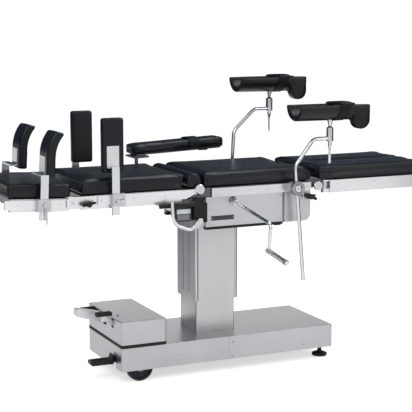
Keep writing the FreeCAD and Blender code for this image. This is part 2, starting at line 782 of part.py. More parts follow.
def tilt_cradle():
    """The cross piece that tilts lengthways on its trunnions and carries the sideways tilt shaft."""
    half = CRADLE_HALF_LENGTH
    side = EAR_INNER_Y - PASS_GAP * 2
    outline = [
        (-side, TREND_Z - 22),
        (side, TREND_Z - 22),
        (side, TREND_Z + 22),
        (side * 0.4, LATERAL_Z + 18),
        (-side * 0.4, LATERAL_Z + 18),
        (-side, TREND_Z + 22),
    ]
    block = prism(outline, "x", COLUMN_X - half, COLUMN_X + half)
    reach = EAR_INNER_Y + EAR_THICKNESS
    trunnions = along_y(COLUMN_X, TREND_Z, -reach, reach, TRUNNION_RADIUS)
    shaft_end = half + HANGER_THICKNESS + 10
    left = Vector(COLUMN_X - shaft_end, 0, LATERAL_Z)
    shaft = rod(left, left + Vector(2 * shaft_end, 0, 0), LATERAL_SHAFT_RADIUS)
    return fuse(block, trunnions, shaft)


# Seat section


def seat_frame():
    """The table's main frame: two beams, cross beams, hangers for the tilt shaft, and the hinge cheeks."""
    parts = []
    beam_inner = SEAT_SIDE - 44
    for side in (-1, 1):
        x0, x1 = SEAT_BEAM_LEFT, SEAT_BEAM_RIGHT
        beam = side_box(side, x0, x1, beam_inner, SEAT_SIDE, SEAT_BEAM_BOTTOM, FRAME_TOP)
        low, high = SEAT_BEAM_BOTTOM + BEAM_WALL, FRAME_TOP - BEAM_WALL
        x0, x1 = SEAT_BEAM_LEFT + 20, SEAT_BEAM_RIGHT - 20
        slot = side_box(side, x0, x1, beam_inner - 1, SEAT_SIDE - BEAM_WALL, low, high)
        parts.append(beam.cut(slot))
        x0, x1 = BACK_PIVOT_X - 60, SEAT_RAIL_LEFT - 4
        cheek_face = SEAT_SIDE + HINGE_PLATE
        cheek = side_box(side, x0, x1, SEAT_SIDE, cheek_face, SEAT_BEAM_BOTTOM + 2, FRAME_TOP)
        near, far = sorted((side * SEAT_SIDE, side * cheek_face))
        parts.append(cheek)
        parts.append(along_y(BACK_PIVOT_X, BACK_PIVOT_Z, near, far, HINGE_EAR_RADIUS))
        low, high = SEAT_BEAM_BOTTOM + 6, FRAME_TOP - 8
        for x in (SEAT_RAIL_LEFT + 40, (SEAT_RAIL_LEFT + SEAT_BEAM_RIGHT) / 2, SEAT_BEAM_RIGHT - 40):
            parts.append(side_box(side, x - 15, x + 15, SEAT_SIDE, FRAME_HALF_WIDTH, low, high))
        x0, x1 = BRIDGE_X - 34, SEAT_BEAM_LEFT + 2
        parts.append(side_box(side, x0, x1, beam_inner, beam_inner + 14, SEAT_BEAM_BOTTOM, FRAME_TOP - 15))
        toe_y = SEAT_SIDE - 24
        toe_near, toe_far = sorted((side * (toe_y - 10), side * toe_y))
        low, high = LEG_PIVOT_Z - 12, LEG_PIVOT_Z + 12
        parts.append(side_box(side, SEAT_BEAM_RIGHT - 12, LEG_PIVOT_X, toe_y - 10, toe_y, low, high))
        parts.append(along_y(LEG_PIVOT_X, LEG_PIVOT_Z, toe_near, toe_far, 14))
    low, high = FRAME_BOTTOM + 10, FRAME_TOP - 15
    guide = box(BRIDGE_X - 34, BRIDGE_X + 14, -beam_inner - 10, beam_inner + 10, low, high)
    parts.append(guide)
    hanger_near = CRADLE_HALF_LENGTH + PASS_GAP
    hanger_far = hanger_near + HANGER_THICKNESS
    wide = 62.0
    for end in (-1, 1):
        x0, x1 = sorted((COLUMN_X + end * hanger_near, COLUMN_X + end * hanger_far))
        high, low = FRAME_TOP - 8, LATERAL_Z - 22
        plate = prism([(-wide, high), (wide, high), (20, low), (-20, low)], "x", x0, x1)
        boss = rod(Vector(x0, 0, LATERAL_Z), Vector(x1, 0, LATERAL_Z), 27)
        cross = box(x0, x1, -beam_inner - 10, beam_inner + 10, FRAME_TOP - 18, FRAME_TOP)
        parts += [plate, boss, cross]
    wide = beam_inner + 10
    parts.append(box(SEAT_BEAM_RIGHT - 40, SEAT_BEAM_RIGHT, -wide, wide, FRAME_TOP - 30, FRAME_TOP))
    frame = fuse(parts[0], *parts[1:])
    shaft_reach = hanger_far + 1
    left = Vector(COLUMN_X - shaft_reach, 0, LATERAL_Z)
    frame = frame.cut(rod(left, left + Vector(2 * shaft_reach, 0, 0), LATERAL_SHAFT_RADIUS + FIT))
    for side in (-1, 1):
        post = Vector(BRIDGE_X - 10, side * BRIDGE_POST_Y, FRAME_BOTTOM)
        frame = frame.cut(rod(post, post + Vector(0, 0, FRAME_HEIGHT), BRIDGE_POST_RADIUS + FIT))
    frame = frame.cut(along_y(BACK_PIVOT_X, BACK_PIVOT_Z, -RAIL_OUTER, RAIL_OUTER, HINGE_PIN_RADIUS + FIT))
    return frame.cut(along_y(LEG_PIVOT_X, LEG_PIVOT_Z, -RAIL_OUTER, RAIL_OUTER, HINGE_PIN_RADIUS + FIT))


def hinge_pins():
    """The capped pins of the back hinge and of the two leg hinges."""
    pins = []
    for side in (-1, 1):
        cap = FRAME_HALF_WIDTH + HINGE_PLATE + REST_GAP
        inner = PAD_WIDTH / 2 + REST_GAP
        back_pin = along_y(BACK_PIVOT_X, BACK_PIVOT_Z, side * inner, side * cap, HINGE_PIN_RADIUS)
        profile = [(0, 0), (HINGE_CAP_RADIUS, 0), (HINGE_CAP_RADIUS, 6), (HINGE_CAP_RADIUS - 4, 10), (0, 10)]
        head = turned(profile, Vector(BACK_PIVOT_X, side * cap, BACK_PIVOT_Z), Vector(0, side, 0))
        pins.append(fuse(back_pin, head))
        cap = FRAME_HALF_WIDTH
        inner = SEAT_SIDE - 34
        leg_pin = along_y(LEG_PIVOT_X, LEG_PIVOT_Z, side * inner, side * cap, HINGE_PIN_RADIUS)
        profile = [(0, 0), (LEG_CAP_RADIUS, 0), (LEG_CAP_RADIUS, 6), (LEG_CAP_RADIUS - 3, 9), (0, 9)]
        head = turned(profile, Vector(LEG_PIVOT_X, side * cap, LEG_PIVOT_Z), Vector(0, side, 0))
        pins.append(fuse(leg_pin, head))
    return pins


def pan(side, outline_box, corner):
    """A shallow sheet pan with its open side towards the middle of the table."""
    x0, x1, z0, z1 = outline_box
    inner, outer = FRAME_HALF_WIDTH - SIDE_COVER_DEPTH, FRAME_HALF_WIDTH
    solid = side_box(side, x0, x1, inner, outer, z0, z1)
    right = edges_where(solid, lambda p: abs(p.x - x1) < 1e-6 and abs(p.z - z0) < 1e-6)
    if corner:
        solid = solid.makeFillet(corner, right)
    wall = SIDE_COVER_WALL
    hollow = side_box(side, x0 + wall, x1 - wall, inner - 1, outer - wall, z0 + wall, z1 - wall)
    if corner:
        right = edges_where(hollow, lambda p: abs(p.x - x1 + wall) < 1e-6 and abs(p.z - z0 - wall) < 1e-6)
        hollow = hollow.makeFillet(corner - wall, right)
    return solid.cut(hollow)


def side_covers():
    """The large side covers and the covers over the leg brackets, on both sides."""
    covers = []
    for side in (-1, 1):
        large = pan(side, (SIDE_COVER_LEFT, SIDE_COVER_RIGHT, SIDE_COVER_BOTTOM, SIDE_COVER_TOP), 0)
        if side < 0:
            face = FRAME_HALF_WIDTH
            low, high = SIDE_COVER_BOTTOM + 30, SIDE_COVER_TOP - 41
            x0, x1 = GUARD_LEFT + 10, SIDE_COVER_LEFT + 1
            tab = side_box(side, x0, x1, face - SIDE_COVER_WALL, face, low, high)
            large = fuse(large, tab)
            large = large.cut(along_y(CRANK_X, CRANK_Z, -RAIL_OUTER, -face + SIDE_COVER_DEPTH, 20))
        covers.append(large)
        outline_box = (LEG_COVER_LEFT, LEG_COVER_RIGHT, SIDE_COVER_BOTTOM - 5, SIDE_COVER_TOP)
        small = pan(side, outline_box, LEG_COVER_CORNER)
        bore = along_y(LEG_KNOB_X, LEG_KNOB_Z, -RAIL_OUTER, RAIL_OUTER, KNOB_ROD_RADIUS + FIT)
        covers.append(small.cut(bore))
    return covers


def seat_rails():
    """The two accessory rails of the seat section."""
    return [
        side_box(side, SEAT_RAIL_LEFT, SEAT_BEAM_RIGHT, FRAME_HALF_WIDTH, RAIL_OUTER, RAIL_BOTTOM, RAIL_TOP)
        for side in (-1, 1)
    ]


def frame_guards():
    """The dark mouldings: edge trays under the side covers, the lever guard and the tilt grip."""
    z1 = SIDE_COVER_BOTTOM
    z0 = z1 - TRAY_HEIGHT
    inner = FRAME_HALF_WIDTH - SIDE_COVER_DEPTH - 8
    pieces = []
    for side in (-1, 1):
        strip = side_box(side, SIDE_COVER_LEFT, SIDE_COVER_RIGHT, inner, FRAME_HALF_WIDTH, z0, z1)
        pieces.append(strip)
    wide = FRAME_HALF_WIDTH - 20
    cross = box(LEG_COVER_LEFT - 40, SIDE_COVER_RIGHT, -wide, wide, z0 - 8, z0)
    tray = fuse(pieces[0], pieces[1], cross)
    top = GUARD_TOP
    low = GUARD_BOTTOM
    outline = [
        (GUARD_LEFT, low + 16),
        (GUARD_LEFT + 14, low),
        (GUARD_RIGHT, low),
        (GUARD_RIGHT, top - 25),
        (GUARD_LEFT + 22, top),
        (GUARD_LEFT, top - 8),
    ]
    guard = prism(outline, "y", GUARD_FACE_Y, -FRAME_HALF_WIDTH)
    end = GUARD_LEFT + 4
    grip = rod(Vector(end - GRIP_LENGTH, GRIP_Y, GRIP_Z), Vector(end, GRIP_Y, GRIP_Z), GRIP_RADIUS)
    return tray, fuse(guard, grip)


def crank_gearbox():
    """The bevel box behind the crank socket, its drive shaft and the casting that lifts the kidney bridge."""
    axis = crank_axis()
    face = -FRAME_HALF_WIDTH
    mouth = Vector(CRANK_X, face, CRANK_Z)
    half = BEVEL_BOX_HALF
    x0, x1 = CRANK_X - half, CRANK_X + half
    bevel = box(x0, x1, face + 10, face + 60, CRANK_Z - 26, SIDE_COVER_TOP - 4)
    bracket = box(x0, x1, face + 26, face + 56, CRANK_Z, SEAT_BEAM_BOTTOM)
    boss = rod(mouth - axis * 24, mouth + axis * 8, 17)
    shaft_y = face + 40
    shaft = rod(Vector(CRANK_X - 26, shaft_y, CRANK_Z), Vector(BRIDGE_X + 8, shaft_y, CRANK_Z), 9)
    x0, x1 = BRIDGE_X - 48, BRIDGE_X + 12
    z0, z1 = CASTING_BOTTOM, CASTING_TOP
    outline = [(x0, z1), (x1, z1), (x1, z0 + 12), (x1 - 14, z0), (x0 + 20, z0), (x0, z0 + 22)]
    wide = FRAME_HALF_WIDTH - CASTING_INSET
    casting = prism(outline, "y", -wide, wide)
    side_arm = box(BRIDGE_X - 20, x1, face + 24, -wide + 10, CRANK_Z - 18, CRANK_Z + 5)
    feet = []
    for side in (-1, 1):
        feet.append(side_box(side, x0, x1, wide - 10, wide + 34, z1 - 14, FRAME_BOTTOM + 10))
    whole = fuse(bevel, bracket, boss, shaft, casting, side_arm, *feet)
    whole = whole.cut(rod(mouth - axis * 20, mouth + axis * 9, CRANK_RADIUS + 1 + FIT))
    for side in (-1, 1):
        post = Vector(BRIDGE_X - 10, side * BRIDGE_POST_Y, z0 - 1)
        whole = whole.cut(rod(post, post + Vector(0, 0, z1 - z0 + 2), BRIDGE_POST_RADIUS + FIT))
    return whole


def soft_pad(x0, x1, y0, y1, z0, z1):
    """A cushion with rounded corners and a soft top edge."""
    return rounded_box(x0, x1, y0, y1, z0, z1, PAD_CORNER, PAD_EDGE, PAD_EDGE / 2)


def seat_pad():
    """The seat cushion, with the shallow cut-out at its leg end."""
    half = PAD_WIDTH / 2
    nose = 30.0
    x0, x1 = SEAT_PAD_LEFT, SEAT_PAD_RIGHT
    outline = [(x0, PAD_BOTTOM), (x1 - nose, PAD_BOTTOM), (x1 - 8, PAD_BOTTOM + 12), (x1, PAD_BOTTOM + 29)]
    outline += [(x1 - 8, PAD_TOP - 18), (x1 - nose, PAD_TOP), (x0, PAD_TOP)]
    pad = prism(outline, "y", -half, half)
    pad = pad.makeFillet(PAD_CORNER, [
        e for e in upright_edges(pad) if e.Vertexes[0].Point.x < x0 + 1
    ])
    flat_end = x1 - nose - 1
    rim = edges_where(pad, lambda p: abs(p.z - PAD_TOP) < 1e-6 and p.x < flat_end)
    pad = pad.makeFillet(PAD_EDGE, rim)
    wide, deep = SEAT_CUT_HALF_WIDTH, SEAT_CUT_DEPTH
    radius = (wide * wide + deep * deep) / (2 * deep)
    centre = Vector(x1 - deep + radius, 0, PAD_BOTTOM - 1)
    return pad.cut(rod(centre, centre + Vector(0, 0, PAD_THICKNESS + 2), radius))


# Kidney bridge


def bridge_lift():
    """The plate under the bridge pad on its two guide posts."""
    top = PAD_BOTTOM - 4
    low = top - 8
    plate = box(BRIDGE_X - 28, BRIDGE_X + 28, BRIDGE_FRONT_Y + 14, BRIDGE_REAR_Y - 14, low, top)
    posts = []
    for side in (-1, 1):
        foot = Vector(BRIDGE_X - 10, side * BRIDGE_POST_Y, CASTING_BOTTOM + 6)
        posts.append(rod(foot, Vector(foot.x, foot.y, low + 2), BRIDGE_POST_RADIUS))
    return fuse(plate, *posts)


def bridge_pad():
    """The rounded pad of the kidney bridge, flattened where it rests on its plate."""
    centre = PAD_BOTTOM - 4 + BRIDGE_RADIUS - 1
    pad = along_y(BRIDGE_X, centre, BRIDGE_FRONT_Y, BRIDGE_REAR_Y, BRIDGE_RADIUS)
    rims = [e for e in pad.Edges if len(e.Vertexes) == 1]
    pad = pad.makeFillet(PAD_EDGE, rims)
    floor = PAD_BOTTOM - 4 + 0.3
    reach = BRIDGE_RADIUS * 3
    return pad.cut(box(BRIDGE_X - reach, BRIDGE_X + reach, -RAIL_OUTER, RAIL_OUTER, floor - reach, floor))


# Back section


def section_frame(x0, x1, top, height, half_width):
    """A section frame: two side members, two cross members and the deck plate."""
    parts = [box(x0, x1, -half_width + 4, half_width - 4, top - DECK, top)]
    low = top - height
    inner = half_width - MEMBER_WIDTH
    for side in (-1, 1):
        member = side_box(side, x0, x1, inner, half_width, low, top)
        hollow = side_box(side, x0 - 1, x1 + 1, inner - 1, half_width - 4, low + 4, top - DECK)
        parts.append(member.cut(hollow))
    for x in (x0 + 14, x1 - 14):
        parts.append(box(x - 14, x + 14, -half_width + 3, half_width - 3, top - 30, top))
    return fuse(parts[0], *parts[1:])


def back_frame():
    """The back section's frame with its accessory rails, hinge plates and head bracket."""
    frame = section_frame(BACK_FRAME_LEFT, BACK_FRAME_RIGHT, FRAME_TOP, FRAME_HEIGHT, FRAME_HALF_WIDTH)
    parts = []
    x, z = BACK_PIVOT_X, BACK_PIVOT_Z
    for side in (-1, 1):
        near, far = sorted((side * FRAME_HALF_WIDTH, side * (FRAME_HALF_WIDTH + HINGE_PLATE)))
        outline = [
            (BACK_FRAME_RIGHT - 40, RAIL_BOTTOM),
            (BACK_RAIL_RIGHT, RAIL_BOTTOM),
            (x - 24, z - 20),
            (x, z - HINGE_EAR_RADIUS),
            (x, z + HINGE_EAR_RADIUS),
            (x - 30, RAIL_TOP),
            (BACK_FRAME_RIGHT - 40, RAIL_TOP),
        ]
        parts.append(prism(outline, "y", near, far))
        parts.append(along_y(x, z, near, far, HINGE_EAR_RADIUS))
        x0, x1 = BACK_RAIL_LEFT, BACK_RAIL_RIGHT
        parts.append(side_box(side, x0, x1, FRAME_HALF_WIDTH, RAIL_OUTER, RAIL_BOTTOM, RAIL_TOP))
        bracket_near, bracket_far = sorted((side * FRAME_HALF_WIDTH, side * (FRAME_HALF_WIDTH + 8)))
        bx, bz = HEAD_PIVOT_X, HEAD_PIVOT_Z
        bracket = [
            (bx - 28, bz - 18),
            (bx - 15, bz - 28),
            (BACK_FRAME_LEFT + 60, bz - 28),
            (BACK_FRAME_LEFT + 60, FRAME_TOP),
            (bx + 6, FRAME_TOP),
            (bx - 18, FRAME_TOP + 4),
            (bx - 28, bz + 12),
        ]
        parts.append(prism(bracket, "y", bracket_near, bracket_far))
        bolt_near = side * (FRAME_HALF_WIDTH - 22)
        parts.append(along_y(bx, bz, bolt_near, side * (FRAME_HALF_WIDTH + 12), HINGE_PIN_RADIUS))
    frame = fuse(frame, *parts)
    frame = frame.cut(along_y(x, z, -RAIL_OUTER - 9, RAIL_OUTER + 9, HINGE_PIN_RADIUS + FIT))
    wide = RAIL_OUTER + 9
    return frame.cut(along_y(HEAD_KNOB_X, HEAD_KNOB_Z, -wide, wide, KNOB_ROD_RADIUS + FIT))


def back_pad():
    """The back cushion, hollowed at its seat end so that it turns clear of the kidney bridge."""
    half = PAD_WIDTH / 2
    pad = soft_pad(BACK_PAD_LEFT, BACK_PAD_RIGHT, -half, half, PAD_BOTTOM, PAD_TOP)
    centre_z = PAD_BOTTOM - 4 + BRIDGE_RADIUS - 1
    reach = math.hypot(BRIDGE_X - BACK_PIVOT_X, centre_z - BACK_PIVOT_Z) + BRIDGE_RADIUS + PASS_GAP
    return pad.cut(along_y(BACK_PIVOT_X, BACK_PIVOT_Z, -half - 1, half + 1, reach))


def lock_knobs(x, z, wing):
    """A through rod with a wing knob at each end."""
    reach = RAIL_OUTER + 6
    parts = [along_y(x, z, -reach - 4, reach + 4, KNOB_ROD_RADIUS)]
    for side in (-1, 1):
        near, far = sorted((side * reach, side * (reach + 20)))
        hub = along_y(x, z, near, far, 13)
        outline = [(x - wing, z - 5), (x - wing + 6, z - 10), (x + wing, z + 2)]
        outline += [(x + wing, z + 9), (x, z + 12), (x - wing, z + 6)]
        parts += [hub, prism(outline, "y", near + 3, far - 3)]
    return fuse(parts[0], *parts[1:])


# Head section


def raised(shape):
    """A piece of the head section, turned from level to its place in the picture."""
    turned_shape = shape.copy()
    turned_shape.rotate(Vector(HEAD_PIVOT_X, 0, HEAD_PIVOT_Z), Vector(0, 1, 0), HEAD_TILT)
    return turned_shape


def head_frame():
    """The head section's frame with its hinge ears and its stood-off rails."""
    half = FRAME_HALF_WIDTH - 3
    top, height = HEAD_FRAME_TOP, HEAD_FRAME_HEIGHT
    frame = section_frame(HEAD_PAD_LEFT + 12, HEAD_PIVOT_X - 16, top, height, half)
    parts = []
    for side in (-1, 1):
        near, far = sorted((side * (half - 14), side * half))
        x0, x1 = HEAD_PIVOT_X - 40, HEAD_PIVOT_X
        parts.append(side_box(side, x0, x1, half - 14, half, HEAD_PIVOT_Z - 14, HEAD_PIVOT_Z + 14))
        parts.append(along_y(HEAD_PIVOT_X, HEAD_PIVOT_Z, near, far, 14))
        rail_bottom = top - 4 - RAIL_HEIGHT
        x0, x1 = HEAD_RAIL_LEFT, HEAD_RAIL_RIGHT
        parts.append(side_box(side, x0, x1, FRAME_HALF_WIDTH, RAIL_OUTER, rail_bottom, top - 4))
        for x in (HEAD_RAIL_LEFT + 60, HEAD_RAIL_RIGHT - 20):
            low, high = rail_bottom + 8, top - 12
            parts.append(side_box(side, x - 9, x + 9, half - 6, FRAME_HALF_WIDTH + 1, low, high))
    bore = along_y(HEAD_PIVOT_X, HEAD_PIVOT_Z, -RAIL_OUTER, RAIL_OUTER, HINGE_PIN_RADIUS + FIT)
    return raised(fuse(frame, *parts).cut(bore))


def head_pad():
    """The head cushion."""
    half = PAD_WIDTH / 2
    bottom = HEAD_FRAME_TOP + REST_GAP
    return raised(soft_pad(HEAD_PAD_LEFT, HEAD_PAD_RIGHT, -half, half, bottom, bottom + PAD_THICKNESS - 3))


# Leg sections


def leg_yoke(side):
    """The hinge block between the seat frame and one leg section."""
    outer = SEAT_SIDE
    y = LEG_SWING_Y
    eye = along_y(LEG_PIVOT_X, LEG_PIVOT_Z, side * (outer - 22), side * (outer - 2), 15)
    low, high = LEG_PIVOT_Z - 12, LEG_PIVOT_Z + 12
    arm = side_box(side, LEG_PIVOT_X, LEG_SWING_X, outer - 22, outer - 14, low, high)
    boss = Vector(LEG_SWING_X, side * y, LEG_PIVOT_Z - 18)
    knuckle = rod(boss, boss + Vector(0, 0, 34), LEG_BOSS_RADIUS)
    yoke = fuse(eye, arm, knuckle)
    yoke = yoke.cut(along_y(LEG_PIVOT_X, LEG_PIVOT_Z, -outer, outer, HINGE_PIN_RADIUS + FIT))
    return yoke.cut(rod(boss - Vector(0, 0, 1), boss + Vector(0, 0, 36), HINGE_PIN_RADIUS + FIT))


def leg_frame(side):
    """One leg section's frame, with the swing pin that runs in the yoke."""
    y = LEG_SWING_Y
    x0 = LEG_SWING_X + LEG_BOSS_RADIUS + PASS_GAP
    x1 = LEG_FRAME_RIGHT
    low = FRAME_BOTTOM
    inner = LEG_SEAM + 2
    parts = [side_box(side, x0, x1, inner, FRAME_HALF_WIDTH, FRAME_TOP - DECK, FRAME_TOP)]
    outer_member = side_box(side, x0, x1, FRAME_HALF_WIDTH - 8, FRAME_HALF_WIDTH, low, FRAME_TOP)
    inner_member = side_box(side, x0, x1, inner, inner + 6, low + 16, FRAME_TOP)
    parts += [outer_member, inner_member]
    for x in (x0 + 10, x1 - 10):
        parts.append(side_box(side, x - 10, x + 10, inner, FRAME_HALF_WIDTH, FRAME_TOP - 34, FRAME_TOP))
    boss = Vector(LEG_SWING_X, side * y, 0)
    upper = LEG_PIVOT_Z + 16 + REST_GAP
    lower = LEG_PIVOT_Z - 18 - REST_GAP
    for z0, z1 in ((upper, FRAME_TOP), (low, lower)):
        start = Vector(boss.x, boss.y, z0)
        parts.append(rod(start, Vector(boss.x, boss.y, z1), LEG_BOSS_RADIUS))
        parts.append(side_box(side, LEG_SWING_X, x0 + 4, y - LEG_BOSS_RADIUS, y + LEG_BOSS_RADIUS, z0, z1))
    parts.append(side_box(side, x0, x0 + 12, y - LEG_BOSS_RADIUS, FRAME_HALF_WIDTH, low, FRAME_TOP))
    parts.append(rod(Vector(boss.x, boss.y, low), Vector(boss.x, boss.y, FRAME_TOP), HINGE_PIN_RADIUS))
    return fuse(parts[0], *parts[1:])


def leg_pad(side):
    """One half of the leg cushion, a little thinner than the seat cushion."""
    low, high = sorted((side * LEG_SEAM, side * PAD_WIDTH / 2))
    return soft_pad(LEG_PAD_LEFT, LEG_PAD_RIGHT, low, high, PAD_BOTTOM, PAD_TOP - LEG_PAD_STEP)


# Crank and release lever


def crank_axis():
    """The crank shaft's direction, outwards from its socket and drooping."""
    droop = math.radians(CRANK_DROOP)
    return Vector(0, -math.cos(droop), -math.sin(droop))


def crank():
    """The plug-in crank: stub, universal joint, shaft and arm."""
    axis = crank_axis()
    down = Vector(0, math.sin(math.radians(CRANK_DROOP)), -math.cos(math.radians(CRANK_DROOP)))
    mouth = Vector(CRANK_X, -FRAME_HALF_WIDTH, CRANK_Z)
    stub = rod(mouth - axis * 16, mouth + axis * 14, CRANK_RADIUS + 1)
    fork = rod(mouth + axis * 9, mouth + axis * 30, 13)
    elbow = mouth + axis * CRANK_SHAFT_LENGTH
    end = elbow + down * CRANK_ARM
    bar = bent_bar([mouth + axis * 26, elbow, end], [22], CRANK_RADIUS)
    eye = rod(end - axis * 11, end + axis * 11, 13)
    spigot = rod(end, end + axis * (HANDLE_LENGTH + 14), 5)
    cap = rod(end + axis * (HANDLE_LENGTH + 12.5), end + axis * (HANDLE_LENGTH + 16), 9)
    return fuse(stub, fork, bar, eye, spigot, cap)


def crank_handle():
    """The sleeve that spins on the crank's spigot."""
    axis = crank_axis()
    down = Vector(0, math.sin(math.radians(CRANK_DROOP)), -math.cos(math.radians(CRANK_DROOP)))
    mouth = Vector(CRANK_X, -FRAME_HALF_WIDTH, CRANK_Z)
    start = mouth + axis * (CRANK_SHAFT_LENGTH + 11.5) + down * CRANK_ARM
    outline = [
        (5 + FIT, 0),
        (HANDLE_RADIUS - 2, 0),
        (HANDLE_RADIUS, 4),
        (HANDLE_RADIUS, HANDLE_LENGTH - 4),
        (HANDLE_RADIUS - 2, HANDLE_LENGTH),
        (5 + FIT, HANDLE_LENGTH),
    ]
    return turned(outline, start, axis)


def release_lever():
    """The curved release lever with its pivot block and bolt."""
    x, z = LEVER_PIVOT_X, LEVER_PIVOT_Z
    points = [
        Vector(x - 131, LEVER_Y, z + 98),
        Vector(x - 124, LEVER_Y, z - 4),
        Vector(x - 40, LEVER_Y, z - 36),
        Vector(x - 6, LEVER_Y, z - 6),
    ]
    tube = bent_bar(points, [62, 26], LEVER_RADIUS)
    outline = [(x - 26, z - 26), (x - 8, z - 30), (x + 18, z - 2)]
    outline += [(x + 14, z + 16), (x - 2, z + 16), (x - 24, z - 8)]
    block = prism(outline, "y", LEVER_Y - LEVER_HALF, LEVER_Y + LEVER_HALF)
    bolt = along_y(x, z, LEVER_Y - LEVER_HALF - 4, LEVER_Y + LEVER_HALF, 7)
    spacer = along_y(x, z, LEVER_Y + LEVER_HALF - 1, GUARD_FACE_Y - COVER_SEAT, LEVER_SPACER_RADIUS)
    return fuse(tube, block, bolt, spacer)


# Accessories


def rail_clamp(x, side, top, bottom, width, slots):
    """A block that grips a rail from outside, over its top and bottom edges."""
    outer = RAIL_OUTER + 24
    low, high = bottom - 8, top + 8
    body = side_box(side, x - width / 2, x + width / 2, RAIL_OUTER + 0.2, outer, low, high)
    lips = []
    for z0, z1 in ((top + 0.4, high), (low, bottom - 0.4)):
        x0, x1 = x - width / 2, x + width / 2
        lips.append(side_box(side, x0, x1, FRAME_HALF_WIDTH + 0.6, RAIL_OUTER + 2, z0, z1))
    clamp = fuse(body, *lips)
    for slot in slots:
        clamp = clamp.cut(slot)
    return clamp


def flat_post(x, side, z0, z1, arm):
    """A flat bar post in its clamp, with an arm that turns inwards at its top."""
    y = RAIL_OUTER + 12
    half, thick = POST_WIDTH / 2, POST_THICKNESS / 2
    post = side_box(side, x - half, x + half, y - thick, y + thick, z0, z1)
    top = side_box(side, x - half, x + half, arm, y + thick, z1 - 8, z1)
    return fuse(post, top)


def post_slot(x, side):
    """The hole that a flat post passes through."""
    y = RAIL_OUTER + 12
    gap = 0.3
    half, thick = POST_WIDTH / 2 + gap, POST_THICKNESS / 2 + gap
    return side_box(side, x - half, x + half, y - thick, y + thick, 0, PAD_TOP * 2)


def leaning_edges(x, bottom, bend, lean, rise):
    """An upright line from bottom to bend, then an arc that leans over by lean in a further rise."""
    radius = (lean * lean + rise * rise) / (2 * lean)
    half = math.asin(rise / radius) / 2
    start = Vector(x, 0, bend)
    middle = Vector(x + radius * (1 - math.cos(half)), 0, bend + radius * math.sin(half))
    end = Vector(x + lean, 0, bend + rise)
    line = Part.LineSegment(Vector(x, 0, bottom), start).toShape()
    return line, Part.Arc(start, middle, end).toShape(), end


def shoulder_x(side):
    """Where a shoulder support's post stands, the rear one a little further to the head end."""
    return SHOULDER_POST_X - (SHOULDER_REAR_SHIFT if side > 0 else 0.0)


def shoulder_pad(side):
    """A curved shoulder pad that leans towards the back section."""
    y = SHOULDER_PAD_Y
    half = SHOULDER_PAD_WIDTH / 2
    low = SHOULDER_PAD_BOTTOM
    x0 = shoulder_x(side) + SHOULDER_PAD_OFFSET
    x1 = x0 + SHOULDER_PAD_THICKNESS
    back_line, back_arc, back_end = leaning_edges(x0, low, low + 98, 37, 106)
    front_line, front_arc, front_end = leaning_edges(x1, low, low + 90, 42, 106)
    top = Part.LineSegment(back_end, front_end).toShape()
    bottom = Part.LineSegment(Vector(x1, 0, low), Vector(x0, 0, low)).toShape()
    face = Part.Face(Part.Wire([bottom, back_line, back_arc, top, front_arc, front_line]))
    near = min(side * (y - half), side * (y + half))
    face.translate(Vector(0, near, 0))
    pad = face.extrude(Vector(0, SHOULDER_PAD_WIDTH, 0))
    return raised(pad.makeFillet(7, pad.Edges))


def shoulder_post(side):
    """The shoulder support's post, its inward arm and the backing plate behind the pad."""
    x = shoulder_x(side)
    reach = SHOULDER_PLATE_REACH
    inner, outer = SHOULDER_PAD_Y - reach, SHOULDER_PAD_Y + reach
    low = SHOULDER_PAD_BOTTOM
    back = x + SHOULDER_PAD_OFFSET - COVER_SEAT
    post = flat_post(x, side, low - 176, low + 20, inner)
    plate = side_box(side, back - 5, back, inner, outer, low + 12, low + 94)
    return raised(fuse(post, plate))


def head_clamps():
    """The clamps of the two shoulder supports."""
    top = HEAD_FRAME_TOP - 4
    clamps = []
    for side in (-1, 1):
        x = shoulder_x(side)
        clamps.append(raised(rail_clamp(x, side, top, top - RAIL_HEIGHT, CLAMP_WIDTH, [post_slot(x, side)])))
    return clamps


def body_post(side):
    """The body support's post, its step and the plate that the pad is screwed to."""
    x = BODY_POST_X
    face = BODY_PAD_Y + BODY_PAD_THICKNESS / 2
    post = flat_post(x, side, BODY_POST_FOOT, BODY_POST_TOP, face + 5)
    low = BODY_POST_TOP - 11
    plate = side_box(side, x - 25, x + 32, face + COVER_SEAT, face + 6, low, low + BODY_PLATE_HEIGHT)
    return fuse(post, plate)


def body_pad(side):
    """The upright body support pad."""
    half = BODY_PAD_THICKNESS / 2
    top = BODY_PAD_BOTTOM + BODY_PAD_HEIGHT
    low, high = sorted((side * (BODY_PAD_Y - half), side * (BODY_PAD_Y + half)))
    return rounded_box(BODY_PAD_LEFT, BODY_PAD_RIGHT, low, high, BODY_PAD_BOTTOM, top, 10, 9, 9)


def back_clamps():
    """The clamps of the two body supports and of the arm board."""
    clamps = [
        rail_clamp(BODY_POST_X + 13, side, RAIL_TOP, RAIL_BOTTOM, CLAMP_WIDTH, [post_slot(BODY_POST_X, side)])
        for side in (-1, 1)
    ]
    base = Vector(ARM_POST_X, ARM_POST_Y, RAIL_BOTTOM - 40)
    x0, x1 = ARM_POST_X - 20, ARM_POST_X + 20
    socket = box(x0, x1, RAIL_OUTER + 20, ARM_POST_Y + 16, RAIL_BOTTOM - 8, RAIL_TOP + 8)
    arm = fuse(rail_clamp(ARM_POST_X, 1, RAIL_TOP, RAIL_BOTTOM, 40, []), socket)
    clamps.append(arm.cut(rod(base, base + Vector(0, 0, 200), ARM_POST_RADIUS + FIT)))
    return clamps


def dipped(shape):
    """A piece of the arm board, turned from level so that its head end dips."""
    turned_shape = shape.copy()
    turned_shape.rotate(Vector(ARM_POST_X, 0, ARM_BOARD_BOTTOM), Vector(0, 1, 0), -ARM_BOARD_DIP)
    return turned_shape


